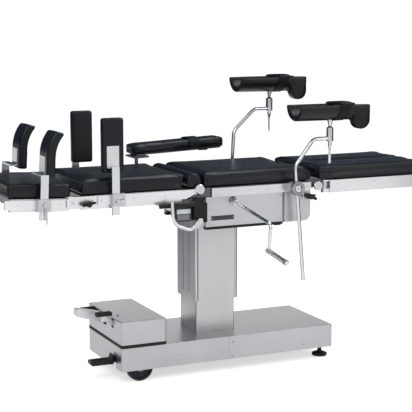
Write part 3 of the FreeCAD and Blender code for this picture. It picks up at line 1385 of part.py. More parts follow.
def arm_post():
    """The arm board's post with the bracket and the tray under its pad."""
    tray_top = ARM_BOARD_BOTTOM
    foot = Vector(ARM_POST_X, ARM_POST_Y, RAIL_BOTTOM - 6)
    post = rod(foot, Vector(ARM_POST_X, ARM_POST_Y, tray_top - 8), ARM_POST_RADIUS)
    y0 = ARM_BOARD_INNER_Y + 12
    y1 = ARM_BOARD_INNER_Y + ARM_BOARD_WIDTH - 12
    tray = box(ARM_BOARD_LEFT + 26, ARM_BOARD_RIGHT - 26, y0, y1, tray_top - 4, tray_top)
    bracket = box(ARM_POST_X - 14, ARM_POST_X + 62, ARM_POST_Y - 14, y1 - 20, tray_top - 12, tray_top - 4)
    return fuse(post, dipped(fuse(tray, bracket)))


def arm_pad():
    """The arm board's cushion, thinner at its hand end."""
    y0 = ARM_BOARD_INNER_Y
    z0 = ARM_BOARD_BOTTOM + REST_GAP
    y1 = y0 + ARM_BOARD_WIDTH
    z1 = z0 + ARM_PAD_THICKNESS
    x0, x1 = ARM_BOARD_LEFT, ARM_BOARD_RIGHT
    corner = 30.0
    pad = rounded_box(x0, x1, y0, y1, z0, z1, corner)
    rise = ARM_PAD_THICKNESS - ARM_PAD_THIN_END
    above = [(x0 - 1, z1 - rise), (x1 + 1, z1), (x1 + 1, z1 + 9), (x0 - 1, z1 + 9)]
    pad = pad.cut(prism(above, "y", y0 - 1, y1 + 1))
    pad = pad.makeFillet(8, edges_where(pad, lambda p: p.z > z0 + ARM_PAD_THIN_END - 2))
    return dipped(pad.makeFillet(6, edges_where(pad, lambda p: abs(p.z - z0) < 1e-6)))


def holder_points(side):
    """The leg holder rod's corner points, from its foot to its socket."""
    foot = FRONT_ROD_FOOT if side < 0 else REAR_ROD_FOOT
    corners = FRONT_ROD_POINTS if side < 0 else REAR_ROD_POINTS
    reach = FRONT_SOCKET_REACH if side < 0 else REAR_SOCKET_REACH
    y = side * HOLDER_Y
    points = [Vector(foot[0], y, foot[1])] + [Vector(x, y, z) for x, z in corners]
    return points + [Vector(corners[-1][0] + reach, y, corners[-1][1])]


def socket_middle(side):
    """The middle of the upright socket at the end of the leg holder rod."""
    rise = FRONT_SOCKET_RISE if side < 0 else REAR_SOCKET_RISE
    return holder_points(side)[-1] + Vector(0, 0, rise)


def leg_rod(side):
    """The leg holder's bent rod with the socket and the cone that carry the crutch."""
    points = holder_points(side)
    bar = bent_bar(points, [52, 40], HOLDER_ROD_RADIUS)
    base = socket_middle(side) - Vector(0, 0, SOCKET_HEIGHT / 2)
    r = SOCKET_RADIUS
    h = SOCKET_HEIGHT
    outline = [(0, 0), (r - 2, 0), (r, 2), (r, h), (r - 6, h + 2), (7, h + 8), (14, h + 36), (0, h + 36)]
    return fuse(bar, turned(outline, base, Vector(0, 0, 1)))


def lock_lever(side):
    """The handle that hangs under the socket and locks the crutch."""
    top = socket_middle(side) - Vector(0, 0, SOCKET_HEIGHT / 2 + REST_GAP)
    n = LOCK_LEVER_LENGTH
    outline = [(0, 0), (8, 0), (9, 8), (9, 16), (5, 34), (4, n - 8), (5, n - 4), (3, n), (0, n)]
    return turned(outline, top, Vector(0, 0, -1))


def crutch(side):
    """The knee crutch: a padded trough with a round side lobe that hangs down at its knee end."""
    middle = socket_middle(side)
    seat = middle.z + SOCKET_HEIGHT / 2 + 36 + REST_GAP
    y = side * HOLDER_Y
    x0 = middle.x + CRUTCH_OFFSET
    x1 = x0 + CRUTCH_LENGTH
    rim = seat + CRUTCH_RADIUS
    half_tube = rod(Vector(x0, y, rim), Vector(x1, y, rim), CRUTCH_RADIUS)
    lobe_x = x1 - CRUTCH_LOBE_RADIUS
    lobe_z = seat + 3
    outer = y - CRUTCH_RADIUS
    inner = outer + CRUTCH_LOBE_WIDTH
    lobe = along_y(lobe_x, lobe_z, outer, inner, CRUTCH_LOBE_RADIUS)
    riser = box(lobe_x - CRUTCH_LOBE_RADIUS, x1, outer, inner, lobe_z, rim)
    body = fuse(half_tube, lobe, riser)
    channel = rod(Vector(x0 - 1, y, rim + 4), Vector(x1 + 1, y, rim + 4), CRUTCH_RADIUS - CRUTCH_WALL)
    body = body.cut(channel)
    body = body.cut(box(x0 - 1, x1 + 1, y - 99, y + 99, rim, rim + 99))
    return body


def seat_clamps():
    """The rotary clamps that hold the two leg holder rods."""
    clamps = []
    for side in (-1, 1):
        points = holder_points(side)
        way = (points[1] - points[0]).normalize()
        middle = RAIL_BOTTOM + RAIL_HEIGHT / 2
        x = points[0].x + way.x / way.z * (middle - points[0].z)
        block = rail_clamp(x - 4, side, RAIL_TOP, RAIL_BOTTOM, 52, [])
        near, far = side * (RAIL_OUTER + 18), side * (HOLDER_Y + 17)
        disc = along_y(x, middle, near, far, 33)
        clamp = fuse(block, disc)
        hub = Vector(x, side * HOLDER_Y, middle)
        clamp = clamp.cut(rod(hub - way * 60, hub + way * 60, HOLDER_ROD_RADIUS + FIT))
        clamps.append(clamp)
    return clamps


def main():
    os.makedirs("parts", exist_ok=True)
    save("base_chassis", base_chassis())
    save("base_cover_head", base_cover(True))
    save("base_cover_foot", base_cover(False))
    save("pump_cover", pump_cover())
    save("pump_cover_seal", pump_cover_seal())
    save("hydraulic_unit", *hydraulic_unit())
    save("levelling_feet", levelling_foot(-1), levelling_foot(1))
    for name, side in SIDES:
        save("wheel_" + name, wheel(side))
    save("brake_pedal", brake_pedal())
    save("pump_lever", pump_lever())
    save("lowering_pedal", *lowering_pedal())
    save("column_inner_sleeve", column_inner_sleeve())
    save("column_outer_sleeve", column_outer_sleeve())
    save("piston_rod", piston_rod())
    save("column_head", column_head())
    save("tilt_cradle", tilt_cradle())
    save("seat_frame", seat_frame())
    save("hinge_pins", *hinge_pins())
    save("side_covers", *side_covers())
    save("seat_rails", *seat_rails())
    save("frame_guards", *frame_guards())
    save("crank_gearbox", crank_gearbox())
    save("seat_pad", seat_pad())
    save("bridge_lift", bridge_lift())
    save("bridge_pad", bridge_pad())
    save("back_frame", back_frame())
    save("back_pad", back_pad())
    save("head_lock_knobs", lock_knobs(HEAD_KNOB_X, HEAD_KNOB_Z, 32))
    save("head_frame", head_frame())
    save("head_pad", head_pad())
    save("leg_lock_knobs", lock_knobs(LEG_KNOB_X, LEG_KNOB_Z, 24))
    save("crank", crank())
    save("crank_handle", crank_handle())
    save("release_lever", release_lever())
    save("head_clamps", *head_clamps())
    save("back_clamps", *back_clamps())
    save("seat_clamps", *seat_clamps())
    save("arm_post", arm_post())
    save("arm_pad", arm_pad())
    for name, side in SIDES:
        save("leg_yoke_" + name, leg_yoke(side))
        save("leg_frame_" + name, leg_frame(side))
        save("leg_pad_" + name, leg_pad(side))
        save("shoulder_post_" + name, shoulder_post(side))
        save("shoulder_pad_" + name, shoulder_pad(side))
        save("body_post_" + name, body_post(side))
        save("body_pad_" + name, body_pad(side))
        save("leg_rod_" + name, leg_rod(side))
        save("crutch_" + name, crutch(side))
        save("lock_lever_" + name, lock_lever(side))


main()
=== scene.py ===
"""The finished look of an operating table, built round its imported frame.

Every cushion, strap, screw, knob and finish is made here. The frame gives all places and sizes, in metres:
X runs from the head end to the leg end, -Y is the operator's side and Z is up.
"""

from __future__ import annotations

import json
import logging
import math
from dataclasses import dataclass
from enum import Enum
from typing import Sequence

import bmesh
import bpy
from mathutils import Matrix, Vector

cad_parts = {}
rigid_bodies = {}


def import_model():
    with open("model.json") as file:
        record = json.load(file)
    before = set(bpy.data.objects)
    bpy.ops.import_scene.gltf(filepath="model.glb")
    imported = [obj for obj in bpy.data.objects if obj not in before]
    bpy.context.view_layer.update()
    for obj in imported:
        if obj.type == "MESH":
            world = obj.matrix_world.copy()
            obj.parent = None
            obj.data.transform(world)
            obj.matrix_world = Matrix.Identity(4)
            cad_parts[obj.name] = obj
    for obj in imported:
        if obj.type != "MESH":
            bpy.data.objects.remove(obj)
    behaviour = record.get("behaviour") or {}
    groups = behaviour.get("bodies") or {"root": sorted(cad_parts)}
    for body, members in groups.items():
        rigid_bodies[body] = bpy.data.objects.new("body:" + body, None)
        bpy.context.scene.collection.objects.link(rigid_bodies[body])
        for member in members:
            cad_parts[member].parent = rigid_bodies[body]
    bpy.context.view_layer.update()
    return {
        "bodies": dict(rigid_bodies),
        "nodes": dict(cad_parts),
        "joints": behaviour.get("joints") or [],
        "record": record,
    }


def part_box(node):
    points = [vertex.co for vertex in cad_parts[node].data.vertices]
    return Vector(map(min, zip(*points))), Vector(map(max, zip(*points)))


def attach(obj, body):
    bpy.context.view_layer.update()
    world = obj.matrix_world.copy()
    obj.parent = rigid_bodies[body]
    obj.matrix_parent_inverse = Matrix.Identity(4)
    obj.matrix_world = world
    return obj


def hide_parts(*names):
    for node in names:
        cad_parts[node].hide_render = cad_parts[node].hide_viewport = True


log = logging.getLogger("operating_table")

Pair = tuple[float, float]
Colour = tuple[float, float, float]
Place = tuple[float, float, float]


class Axis(Enum):
    """One of the table's three directions."""

    X = 0
    Y = 1
    Z = 2

    @property
    def way(self) -> Vector:
        """The unit vector of this direction."""
        return Vector([1.0 if i == self.value else 0.0 for i in range(3)])


class Side(Enum):
    """The two long sides of the table."""

    FRONT = -1
    REAR = 1

    @property
    def word(self) -> str:
        """The side's word in node and body names."""
        return self.name.lower()

    @property
    def way(self) -> Vector:
        """Outwards from the table on this side."""
        return Vector((0, self.value, 0))

    def at(self, x: float, y: float, z: float) -> Vector:
        """A point on this side, y away from the table's middle plane."""
        return Vector((x, self.value * y, z))


class Value:
    """A shader socket that takes part in ordinary arithmetic."""

    def __init__(self, shader: Shader, socket: bpy.types.NodeSocket) -> None:
        """Keeps the socket and the shader that it belongs to."""
        self.shader = shader
        self.socket = socket

    def _maths(self, operation: str, first: Term, second: Term) -> Value:
        """Adds one maths node for two terms."""
        return self.shader.node("ShaderNodeMath", {"operation": operation}, {0: first, 1: second})

    def __add__(self, other: Term) -> Value:
        """Self plus other."""
        return self._maths("ADD", self, other)

    def __radd__(self, other: Term) -> Value:
        """Other plus self."""
        return self._maths("ADD", other, self)

    def __sub__(self, other: Term) -> Value:
        """Self minus other."""
        return self._maths("SUBTRACT", self, other)

    def __rsub__(self, other: Term) -> Value:
        """Other minus self."""
        return self._maths("SUBTRACT", other, self)

    def __mul__(self, other: Term) -> Value:
        """Self times other."""
        return self._maths("MULTIPLY", self, other)

    def __rmul__(self, other: Term) -> Value:
        """Other times self."""
        return self._maths("MULTIPLY", other, self)

    def largest(self, other: Term) -> Value:
        """The larger of the two."""
        return self._maths("MAXIMUM", self, other)

    def between(self, low: float, high: float) -> Value:
        """Maps low to 0 and high to 1, held at both ends."""
        return self.shader.node("ShaderNodeMapRange", {"clamp": True}, {0: self, 1: low, 2: high}, 0)


Term = Value | float | int


class Shader:
    """A material in the making."""

    def __init__(self, name: str, tree: bpy.types.NodeTree | None = None) -> None:
        """Starts an empty node tree.

        Args:
            name: the material's name.
            tree: a tree to fill, such as the world's, in place of a new material's.
        """
        self.material: bpy.types.Material | None = None
        if tree is None:
            self.material = bpy.data.materials.new(name)
            self.material.use_nodes = True
            tree = self.material.node_tree
        self.tree = tree
        self.tree.nodes.clear()

    def node(self, kind: str, settings: dict, inputs: dict, output: int | str = 0) -> Value:
        """Adds a node.

        Args:
            kind: the node's type.
            settings: its own settings, set before its sockets.
            inputs: a value or a link for each named or numbered socket.
            output: the socket that is handed back.

        Returns:
            The node's output socket.
        """
        node = self.tree.nodes.new(kind)
        for key, setting in settings.items():
            setattr(node, key, setting)
        for key, term in inputs.items():
            if isinstance(term, Value):
                self.tree.links.new(term.socket, node.inputs[key])
            else:
                node.inputs[key].default_value = term
        return Value(self, node.outputs[output])

    def place(self, stretch: Place = (1.0, 1.0, 1.0)) -> Value:
        """Object coordinates, stretched along the three axes."""
        coordinate = self.node("ShaderNodeTexCoord", {}, {}, "Object")
        return self.node("ShaderNodeMapping", {}, {"Vector": coordinate, "Scale": stretch})

    def noise(self, scale: float, detail: float = 2.0, stretch: Place = (1.0, 1.0, 1.0)) -> Value:
        """Noise in Object coordinates, about 0 to 1."""
        inputs = {"Vector": self.place(stretch), "Scale": scale, "Detail": detail}
        return self.node("ShaderNodeTexNoise", {}, inputs, "Fac")

    def ray(self, kind: str) -> Value:
        """1 for rays of a kind, else 0."""
        return self.node("ShaderNodeLightPath", {}, {}, f"Is {kind} Ray")

    def blend(self, factor: Term, low: Colour | Value, high: Colour | Value) -> Value:
        """A colour between low and high."""
        ends = [end if isinstance(end, Value) else (*end, 1.0) for end in (low, high)]
        return self.node("ShaderNodeMix", {"data_type": "RGBA"}, {0: factor, 6: ends[0], 7: ends[1]}, 2)

    def bump(self, height: Value, strength: float, distance: float) -> Value:
        """A normal raised by a height."""
        return self.node("ShaderNodeBump", {}, {"Height": height, "Strength": strength, "Distance": distance})

    def surface(self, sockets: dict) -> bpy.types.Material:
        """Closes the material with one principled surface.

        Args:
            sockets: a value or a link for each of its sockets.

        Returns:
            The finished material.
        """
        shade = self.node("ShaderNodeBsdfPrincipled", {}, sockets, "BSDF")
        output = self.tree.nodes.new("ShaderNodeOutputMaterial")
        self.tree.links.new(shade.socket, output.inputs["Surface"])
        return self.material

    def lit(self, colour: Colour, roughness: float, glow: Colour | Value) -> bpy.types.Material:
        """Closes the material with a dull surface that gives light of its own."""
        return self.surface(
            {
                "Base Color": (*colour, 1.0),
                "Roughness": roughness,
                "Specular IOR Level": 0.0,
                "Emission Color": glow if isinstance(glow, Value) else (*glow, 1.0),
                "Emission Strength": 1.0,
            }
        )


def scaled(colour: Colour, by: float) -> Colour:
    """A colour made lighter or darker."""
    return tuple(min(1.0, part * by) for part in colour)


@dataclass(frozen=True)
class Finish:
    """A surface finish, and the record's slot that it belongs to."""

    name: str
    slot: str
    colour: Colour
    roughness: float

    def sockets(self, shader: Shader) -> dict:
        """The principled sockets of this finish."""
        return {"Base Color": (*self.colour, 1.0), "Roughness": self.roughness}

    def shades(self, shader: Shader, factor: Value, dark: float, light: float = 1.0) -> Value:
        """The colour, varied between a darker and a lighter shade of it."""
        return shader.blend(factor, scaled(self.colour, dark), scaled(self.colour, light))

    def material(self) -> bpy.types.Material:
        """The finish as a material, made once."""
        known = bpy.data.materials.get(self.name)
        if known:
            return known
        shader = Shader(self.name)
        return shader.surface(self.sockets(shader))


@dataclass(frozen=True)
class BrushedSteel(Finish):
    """Stainless sheet with a brushed grain along one direction."""

    grain: Axis = Axis.X
    fine: float = 1500.0
    long: float = 14.0

    def sockets(self, shader: Shader) -> dict:
        """Fine lines along the grain, and broad soft clouds from handling."""
        stretch = [self.fine] * 3
        stretch[self.grain.value] = self.long
        lines = shader.noise(1.0, stretch=tuple(stretch))
        clouds = shader.noise(4.0, 3.0)
        streaks = shader.noise(1.0, stretch=tuple(0.35 * s for s in stretch))
        shade = clouds * 0.6 + streaks * 0.4
        return {
            "Base Color": self.shades(shader, shade.between(0.3, 0.7), 0.90, 1.06),
            "Metallic": 1.0,
            "Roughness": self.roughness + lines * 0.08 + clouds * 0.06 - 0.07,
            "Normal": shader.bump(lines, 0.05, 0.0003),
        }


@dataclass(frozen=True)
class Plated(Finish):
    """Bright plated bar and fittings, with a little handling haze."""

    def sockets(self, shader: Shader) -> dict:
        """Near mirror with faint clouds."""
        haze = shader.noise(35.0, 3.0)
        return {
            "Base Color": self.shades(shader, haze.between(0.35, 0.7), 0.94),
            "Metallic": 1.0,
            "Roughness": self.roughness + haze * 0.08 - 0.03,
        }


@dataclass(frozen=True)
class CastMetal(Finish):
    """Fine cast or bead-blasted metal."""

    metallic: float = 1.0

    def sockets(self, shader: Shader) -> dict:
        """A close pitted grain."""
        grain = shader.noise(900.0, 3.0)
        clouds = shader.noise(18.0, 2.0)
        return {
            "Base Color": self.shades(shader, clouds.between(0.3, 0.7), 0.88),
            "Metallic": self.metallic,
            "Roughness": self.roughness + clouds * 0.12 - 0.06,
            "Normal": shader.bump(grain, 0.15, 0.0003),
        }


@dataclass(frozen=True)
class Upholstery(Finish):
    """Soft moulded skin with a pebbled leather grain."""

    pebble: float = 620.0
    shine: float = 0.25

    def sockets(self, shader: Shader) -> dict:
        """Pebbles, pores and the soft patches that a wiped skin has."""
        cells = shader.node(
            "ShaderNodeTexVoronoi",
            {"feature": "SMOOTH_F1"},
            {"Vector": shader.place(), "Scale": self.pebble, "Smoothness": 0.6},
            "Distance",
        )
        pores = shader.noise(self.pebble * 2.2, 2.0)
        wiped = shader.noise(7.0, 3.0)
        height = cells * 0.8 + pores * 0.35
        return {
            "Base Color": self.shades(shader, wiped.between(0.25, 0.75), 0.8, 1.25),
            "Roughness": self.roughness + wiped * 0.14 - 0.07,
            "Normal": shader.bump(height, 0.22, 0.0005),
            "Specular IOR Level": self.shine,
        }


@dataclass(frozen=True)
class Moulded(Finish):
    """Moulded plastic or rubber with a fine spark-eroded texture."""

    texture: float = 1400.0
    shine: float = 0.22

    def sockets(self, shader: Shader) -> dict:
        """A fine even texture with slightly shiny worn patches."""
        sparks = shader.noise(self.texture, 2.0)
        worn = shader.noise(25.0, 2.0)
        return {
            "Base Color": self.shades(shader, worn.between(0.3, 0.75), 0.85, 1.2),
            "Roughness": self.roughness + worn * 0.16 - 0.08,
            "Normal": shader.bump(sparks, 0.14, 0.0002),
            "Specular IOR Level": self.shine,
        }


@dataclass(frozen=True)
class Webbing(Finish):
    """Woven strap, with its ribs across the strap's width."""

    rib: float = 900.0

    def sockets(self, shader: Shader) -> dict:
        """Two crossed sets of threads."""
        weft, warp = (
            shader.node(
                "ShaderNodeTexWave",
                {"bands_direction": axis.name},
                {"Vector": shader.place(), "Scale": self.rib / share, "Distortion": 0.4},
                "Fac",
            )
            for axis, share in ((Axis.X, 6.0), (Axis.Y, 9.0))
        )
        weave = weft * 0.6 + warp * 0.4
        return {
            "Base Color": self.shades(shader, weave, 0.6, 1.4),
            "Roughness": self.roughness,
            "Specular IOR Level": 0.2,
            "Normal": shader.bump(weave, 0.5, 0.0006),
        }


COVER_SHEET = BrushedSteel("cover_sheet", "cover_steel", (0.43, 0.44, 0.45), 0.34, grain=Axis.X)
PANEL_SHEET = BrushedSteel("side_panel_sheet", "cover_steel", (0.475, 0.485, 0.495), 0.36, grain=Axis.X)
COLUMN_SHEET = BrushedSteel("column_sheet", "column_steel", (0.47, 0.475, 0.48), 0.33, grain=Axis.Z)
RAIL_BAR = BrushedSteel("rail_bar", "rail_steel", (0.62, 0.63, 0.64), 0.24, grain=Axis.X)
SECTION_SHEET = BrushedSteel("section_sheet", "section_frame", (0.71, 0.72, 0.73), 0.32, grain=Axis.X)
POST_BAR = BrushedSteel("post_bar", "post_steel", (0.68, 0.69, 0.70), 0.24, grain=Axis.Z)
CHROME = Plated("bright_chrome", "chrome", (0.61, 0.62, 0.635), 0.15)
CLAMP_CAST = CastMetal("clamp_casting", "clamp_metal", (0.52, 0.53, 0.54), 0.32)
PEDAL_CAST = CastMetal("pedal_casting", "pedal_metal", (0.62, 0.63, 0.64), 0.38)
SERRATED_CAST = CastMetal("serrated_casting", "clamp_metal", (0.19, 0.20, 0.215), 0.36)
PALE_SLEEVE = Moulded("pale_sleeve", "chrome", (0.70, 0.75, 0.80), 0.35)
MACHINE_ENAMEL = CastMetal("machine_enamel", "frame_paint", (0.10, 0.105, 0.112), 0.45, metallic=0.0)
PUMP_ENAMEL = CastMetal("pump_enamel", "pump_metal", (0.05, 0.052, 0.055), 0.48, metallic=0.0)
CUSHION_SKIN = Upholstery("cushion_skin", "cushion", (0.0046, 0.0058, 0.0084), 0.30)
CRUTCH_SKIN = Upholstery(
    "crutch_skin", "crutch_shell", (0.0060, 0.0066, 0.0080), 0.32, pebble=520.0, shine=0.24
)
BLACK_MOULDING = Moulded("black_moulding", "black_plastic", (0.0075, 0.0078, 0.0085), 0.36)
BLACK_RUBBER = Moulded("black_rubber", "rubber", (0.013, 0.013, 0.014), 0.60, texture=900.0)
WHEEL_RUBBER = Moulded("wheel_rubber", "wheel_tread", (0.013, 0.017, 0.025), 0.46, texture=700.0)
STRAP_WEB = Webbing("strap_webbing", "crutch_shell", (0.0052, 0.0054, 0.0062), 0.62)
PLATE_FACE = CastMetal("blank_plate_face", "black_plastic", (0.03, 0.031, 0.034), 0.42, metallic=0.2)

NODE_FINISHES: dict[Finish, tuple[str, ...]] = {
    COVER_SHEET: ("base_cover_head", "base_cover_foot", "pump_cover"),
    PANEL_SHEET: ("side_covers",),
    MACHINE_ENAMEL: ("base_chassis", "seat_frame", "column_head", "tilt_cradle", "bridge_lift"),
    CLAMP_CAST: (
        "crank_gearbox",
        "leg_yoke_front",
        "leg_yoke_rear",
        "head_clamps",
        "back_clamps",
        "seat_clamps",
    ),
    SECTION_SHEET: ("back_frame", "head_frame", "leg_frame_front", "leg_frame_rear"),
    COLUMN_SHEET: ("column_outer_sleeve", "column_inner_sleeve"),
    RAIL_BAR: ("seat_rails",),
    CHROME: (
        "crank",
        "crank_handle",
        "piston_rod",
        "leg_rod_front",
        "leg_rod_rear",
        "lock_lever_front",
        "lock_lever_rear",
        "hinge_pins",
        "release_lever",
    ),
    SERRATED_CAST: ("arm_post",),
    POST_BAR: ("body_post_front", "body_post_rear", "shoulder_post_front", "shoulder_post_rear"),
    BLACK_RUBBER: ("levelling_feet", "pump_cover_seal"),
    PUMP_ENAMEL: ("hydraulic_unit",),
    BLACK_MOULDING: ("brake_pedal", "frame_guards", "head_lock_knobs", "leg_lock_knobs"),
    PEDAL_CAST: ("pump_lever", "lowering_pedal"),
    WHEEL_RUBBER: ("wheel_front", "wheel_rear"),
}
CRANK_X, CRANK_Z = -0.004, 0.818


def linked(name: str, data: bpy.types.ID) -> bpy.types.Object:
    """A new object in the scene."""
    made = bpy.data.objects.new(name, data)
    bpy.context.scene.collection.objects.link(made)
    return made


def solid(name: str, mesh: bmesh.types.BMesh) -> bpy.types.Object:
    """Ends a mesh in the making as an object in the scene."""
    data = bpy.data.meshes.new(name)
    mesh.to_mesh(data)
    mesh.free()
    return linked(name, data)


def sheet(name: str, size: Pair, place: Matrix, shader: Shader) -> bpy.types.Object:
    """A flat sheet of one face, with the shader's material."""
    mesh = bmesh.new()
    bmesh.ops.create_grid(mesh, x_segments=1, y_segments=1, size=0.5)
    bmesh.ops.transform(mesh, matrix=place @ Matrix.Diagonal((*size, 1.0, 1.0)), verts=mesh.verts)
    made = solid(name, mesh)
    made.data.materials.append(shader.material)
    return made


def turned_to(axis: Vector) -> Matrix:
    """The turn that takes Z to an axis."""
    return Vector((0, 0, 1)).rotation_difference(axis.normalized()).to_matrix().to_4x4()


class Blank:
    """A workpiece: a mesh in the making, and the cuts that shape it."""

    def __init__(self) -> None:
        """Starts with nothing."""
        self.mesh = bmesh.new()

    def block(self, start: Vector, end: Vector, edge: float, segments: int = 3) -> Blank:
        """Adds a block.

        Args:
            start: one corner.
            end: the corner opposite to it.
            edge: how far its edges are rounded.
            segments: how many flats a rounded edge has.

        Returns:
            The workpiece itself.
        """
        size = [abs(part) for part in end - start]
        place = Matrix.Translation((start + end) / 2) @ Matrix.Diagonal((*size, 1.0))
        made = bmesh.ops.create_cube(self.mesh, size=1.0, matrix=place)
        edges = list({e for v in made["verts"] for e in v.link_edges})
        bmesh.ops.bevel(
            self.mesh, geom=edges, offset=edge, segments=segments, profile=0.5, affect="EDGES", material=-1
        )
        return self

    def turned(
        self, outline: Sequence[Pair], base: Vector, axis: Vector, steps: int = 32
    ) -> Blank:
        """Adds a turned piece.

        Args:
            outline: (radius, height) points along the axis, from axis to axis.
            base: the point of height 0.
            axis: the direction of growing height.
            steps: how many flats the round has.

        Returns:
            The workpiece itself.
        """
        before = set(self.mesh.verts)
        verts = [self.mesh.verts.new((max(radius, 1e-7), 0.0, height)) for radius, height in outline]
        edges = [self.mesh.edges.new(pair) for pair in zip(verts, verts[1:])]
        bmesh.ops.spin(
            self.mesh,
            geom=verts + edges,
            cent=(0, 0, 0),
            axis=(0, 0, 1),
            dvec=(0, 0, 0),
            angle=math.tau,
            steps=steps,
            use_merge=True,
        )
        made = [v for v in self.mesh.verts if v not in before]
        bmesh.ops.remove_doubles(self.mesh, verts=made, dist=2e-6)
        made = [v for v in self.mesh.verts if v not in before]
        bmesh.ops.transform(self.mesh, matrix=Matrix.Translation(base) @ turned_to(axis), verts=made)
        return self

    def cone(self, middle: Vector, axis: Vector, depth: float, radii: Pair, sides: int) -> list:
        """Adds a closed cone.

        Args:
            middle: the point halfway up its axis.
            axis: the direction from its first end to its second.
            depth: its length.
            radii: the radius at each end.
            sides: how many flats it has.

        Returns:
            Its vertices.
        """
        made = bmesh.ops.create_cone(
            self.mesh,
            cap_ends=True,
            segments=sides,
            radius1=radii[0],
            radius2=radii[1],
            depth=depth,
            matrix=Matrix.Translation(middle) @ turned_to(axis),
        )
        return made["verts"]

    def socket_head(self, radius: float, depth: float, base: Vector, axis: Vector, socket: float) -> Blank:
        """Adds the round head of a socket screw.

        Args:
            radius: the outer radius.
            depth: the height of the head.
            base: the middle of the seat.
            axis: outwards from the seat.
            socket: the radius of the recess.

        Returns:
            The workpiece itself.
        """
        top_radius = radius * 0.92
        verts = self.cone(base + axis.normalized() * depth / 2, axis, depth, (radius, top_radius), 24)
        top = max({f for v in verts for f in v.link_faces}, key=lambda f: f.calc_center_median().dot(axis))
        bmesh.ops.inset_individual(self.mesh, faces=[top], thickness=top_radius - socket)
        bmesh.ops.inset_individual(self.mesh, faces=[top], thickness=0.0002, depth=-depth * 0.5)
        return self

    def bar(self, start: Vector, end: Vector, thick: float, thin: float, sides: int = 16) -> Blank:
        """Adds a tapered round bar."""
        self.cone((start + end) / 2, end - start, (end - start).length, (thick, thin), sides)
        return self

    def band(self, ring: Sequence[Vector], width: Vector, thickness: float) -> Blank:
        """Adds a closed strap.

        Args:
            ring: the points that the strap passes through, at one edge of it.
            width: from that edge to the other.
            thickness: how thick it is, outwards from the ring.

        Returns:
            The workpiece itself.
        """
        verts = [self.mesh.verts.new(point) for point in ring]
        edges = [self.mesh.edges.new(pair) for pair in zip(verts, verts[1:] + verts[:1])]
        made = bmesh.ops.extrude_edge_only(self.mesh, edges=edges)
        moved = [part for part in made["geom"] if isinstance(part, bmesh.types.BMVert)]
        bmesh.ops.translate(self.mesh, vec=width, verts=moved)
        faces = [part for part in made["geom"] if isinstance(part, bmesh.types.BMFace)]
        bmesh.ops.recalc_face_normals(self.mesh, faces=faces)
        bmesh.ops.solidify(self.mesh, geom=faces, thickness=-thickness)
        return self

    def finished(self, name: str, finish: Finish, body: str, smooth: float = 40.0) -> None:
        """Turns the workpiece into a finished piece that rides on a body.

        Args:
            name: the piece's name.
            finish: its finish.
            body: the body that carries it.
            smooth: the edge angle in degrees up to which it is shaded round.
        """
        bmesh.ops.recalc_face_normals(self.mesh, faces=self.mesh.faces)
        limit = math.radians(smooth)
        for face in self.mesh.faces:
            face.smooth = True
        for edge in self.mesh.edges:
            edge.smooth = len(edge.link_faces) != 2 or edge.calc_face_angle(0.0) < limit
        piece = solid(name, self.mesh)
        piece.data.materials.append(finish.material())
        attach(piece, body)
        log.info("made %s on %s", name, body)


def dress(node: bpy.types.Object, finish: Finish) -> None:
    """Gives a frame node its finish."""
    node.data.materials.clear()
    node.data.materials.append(finish.material())


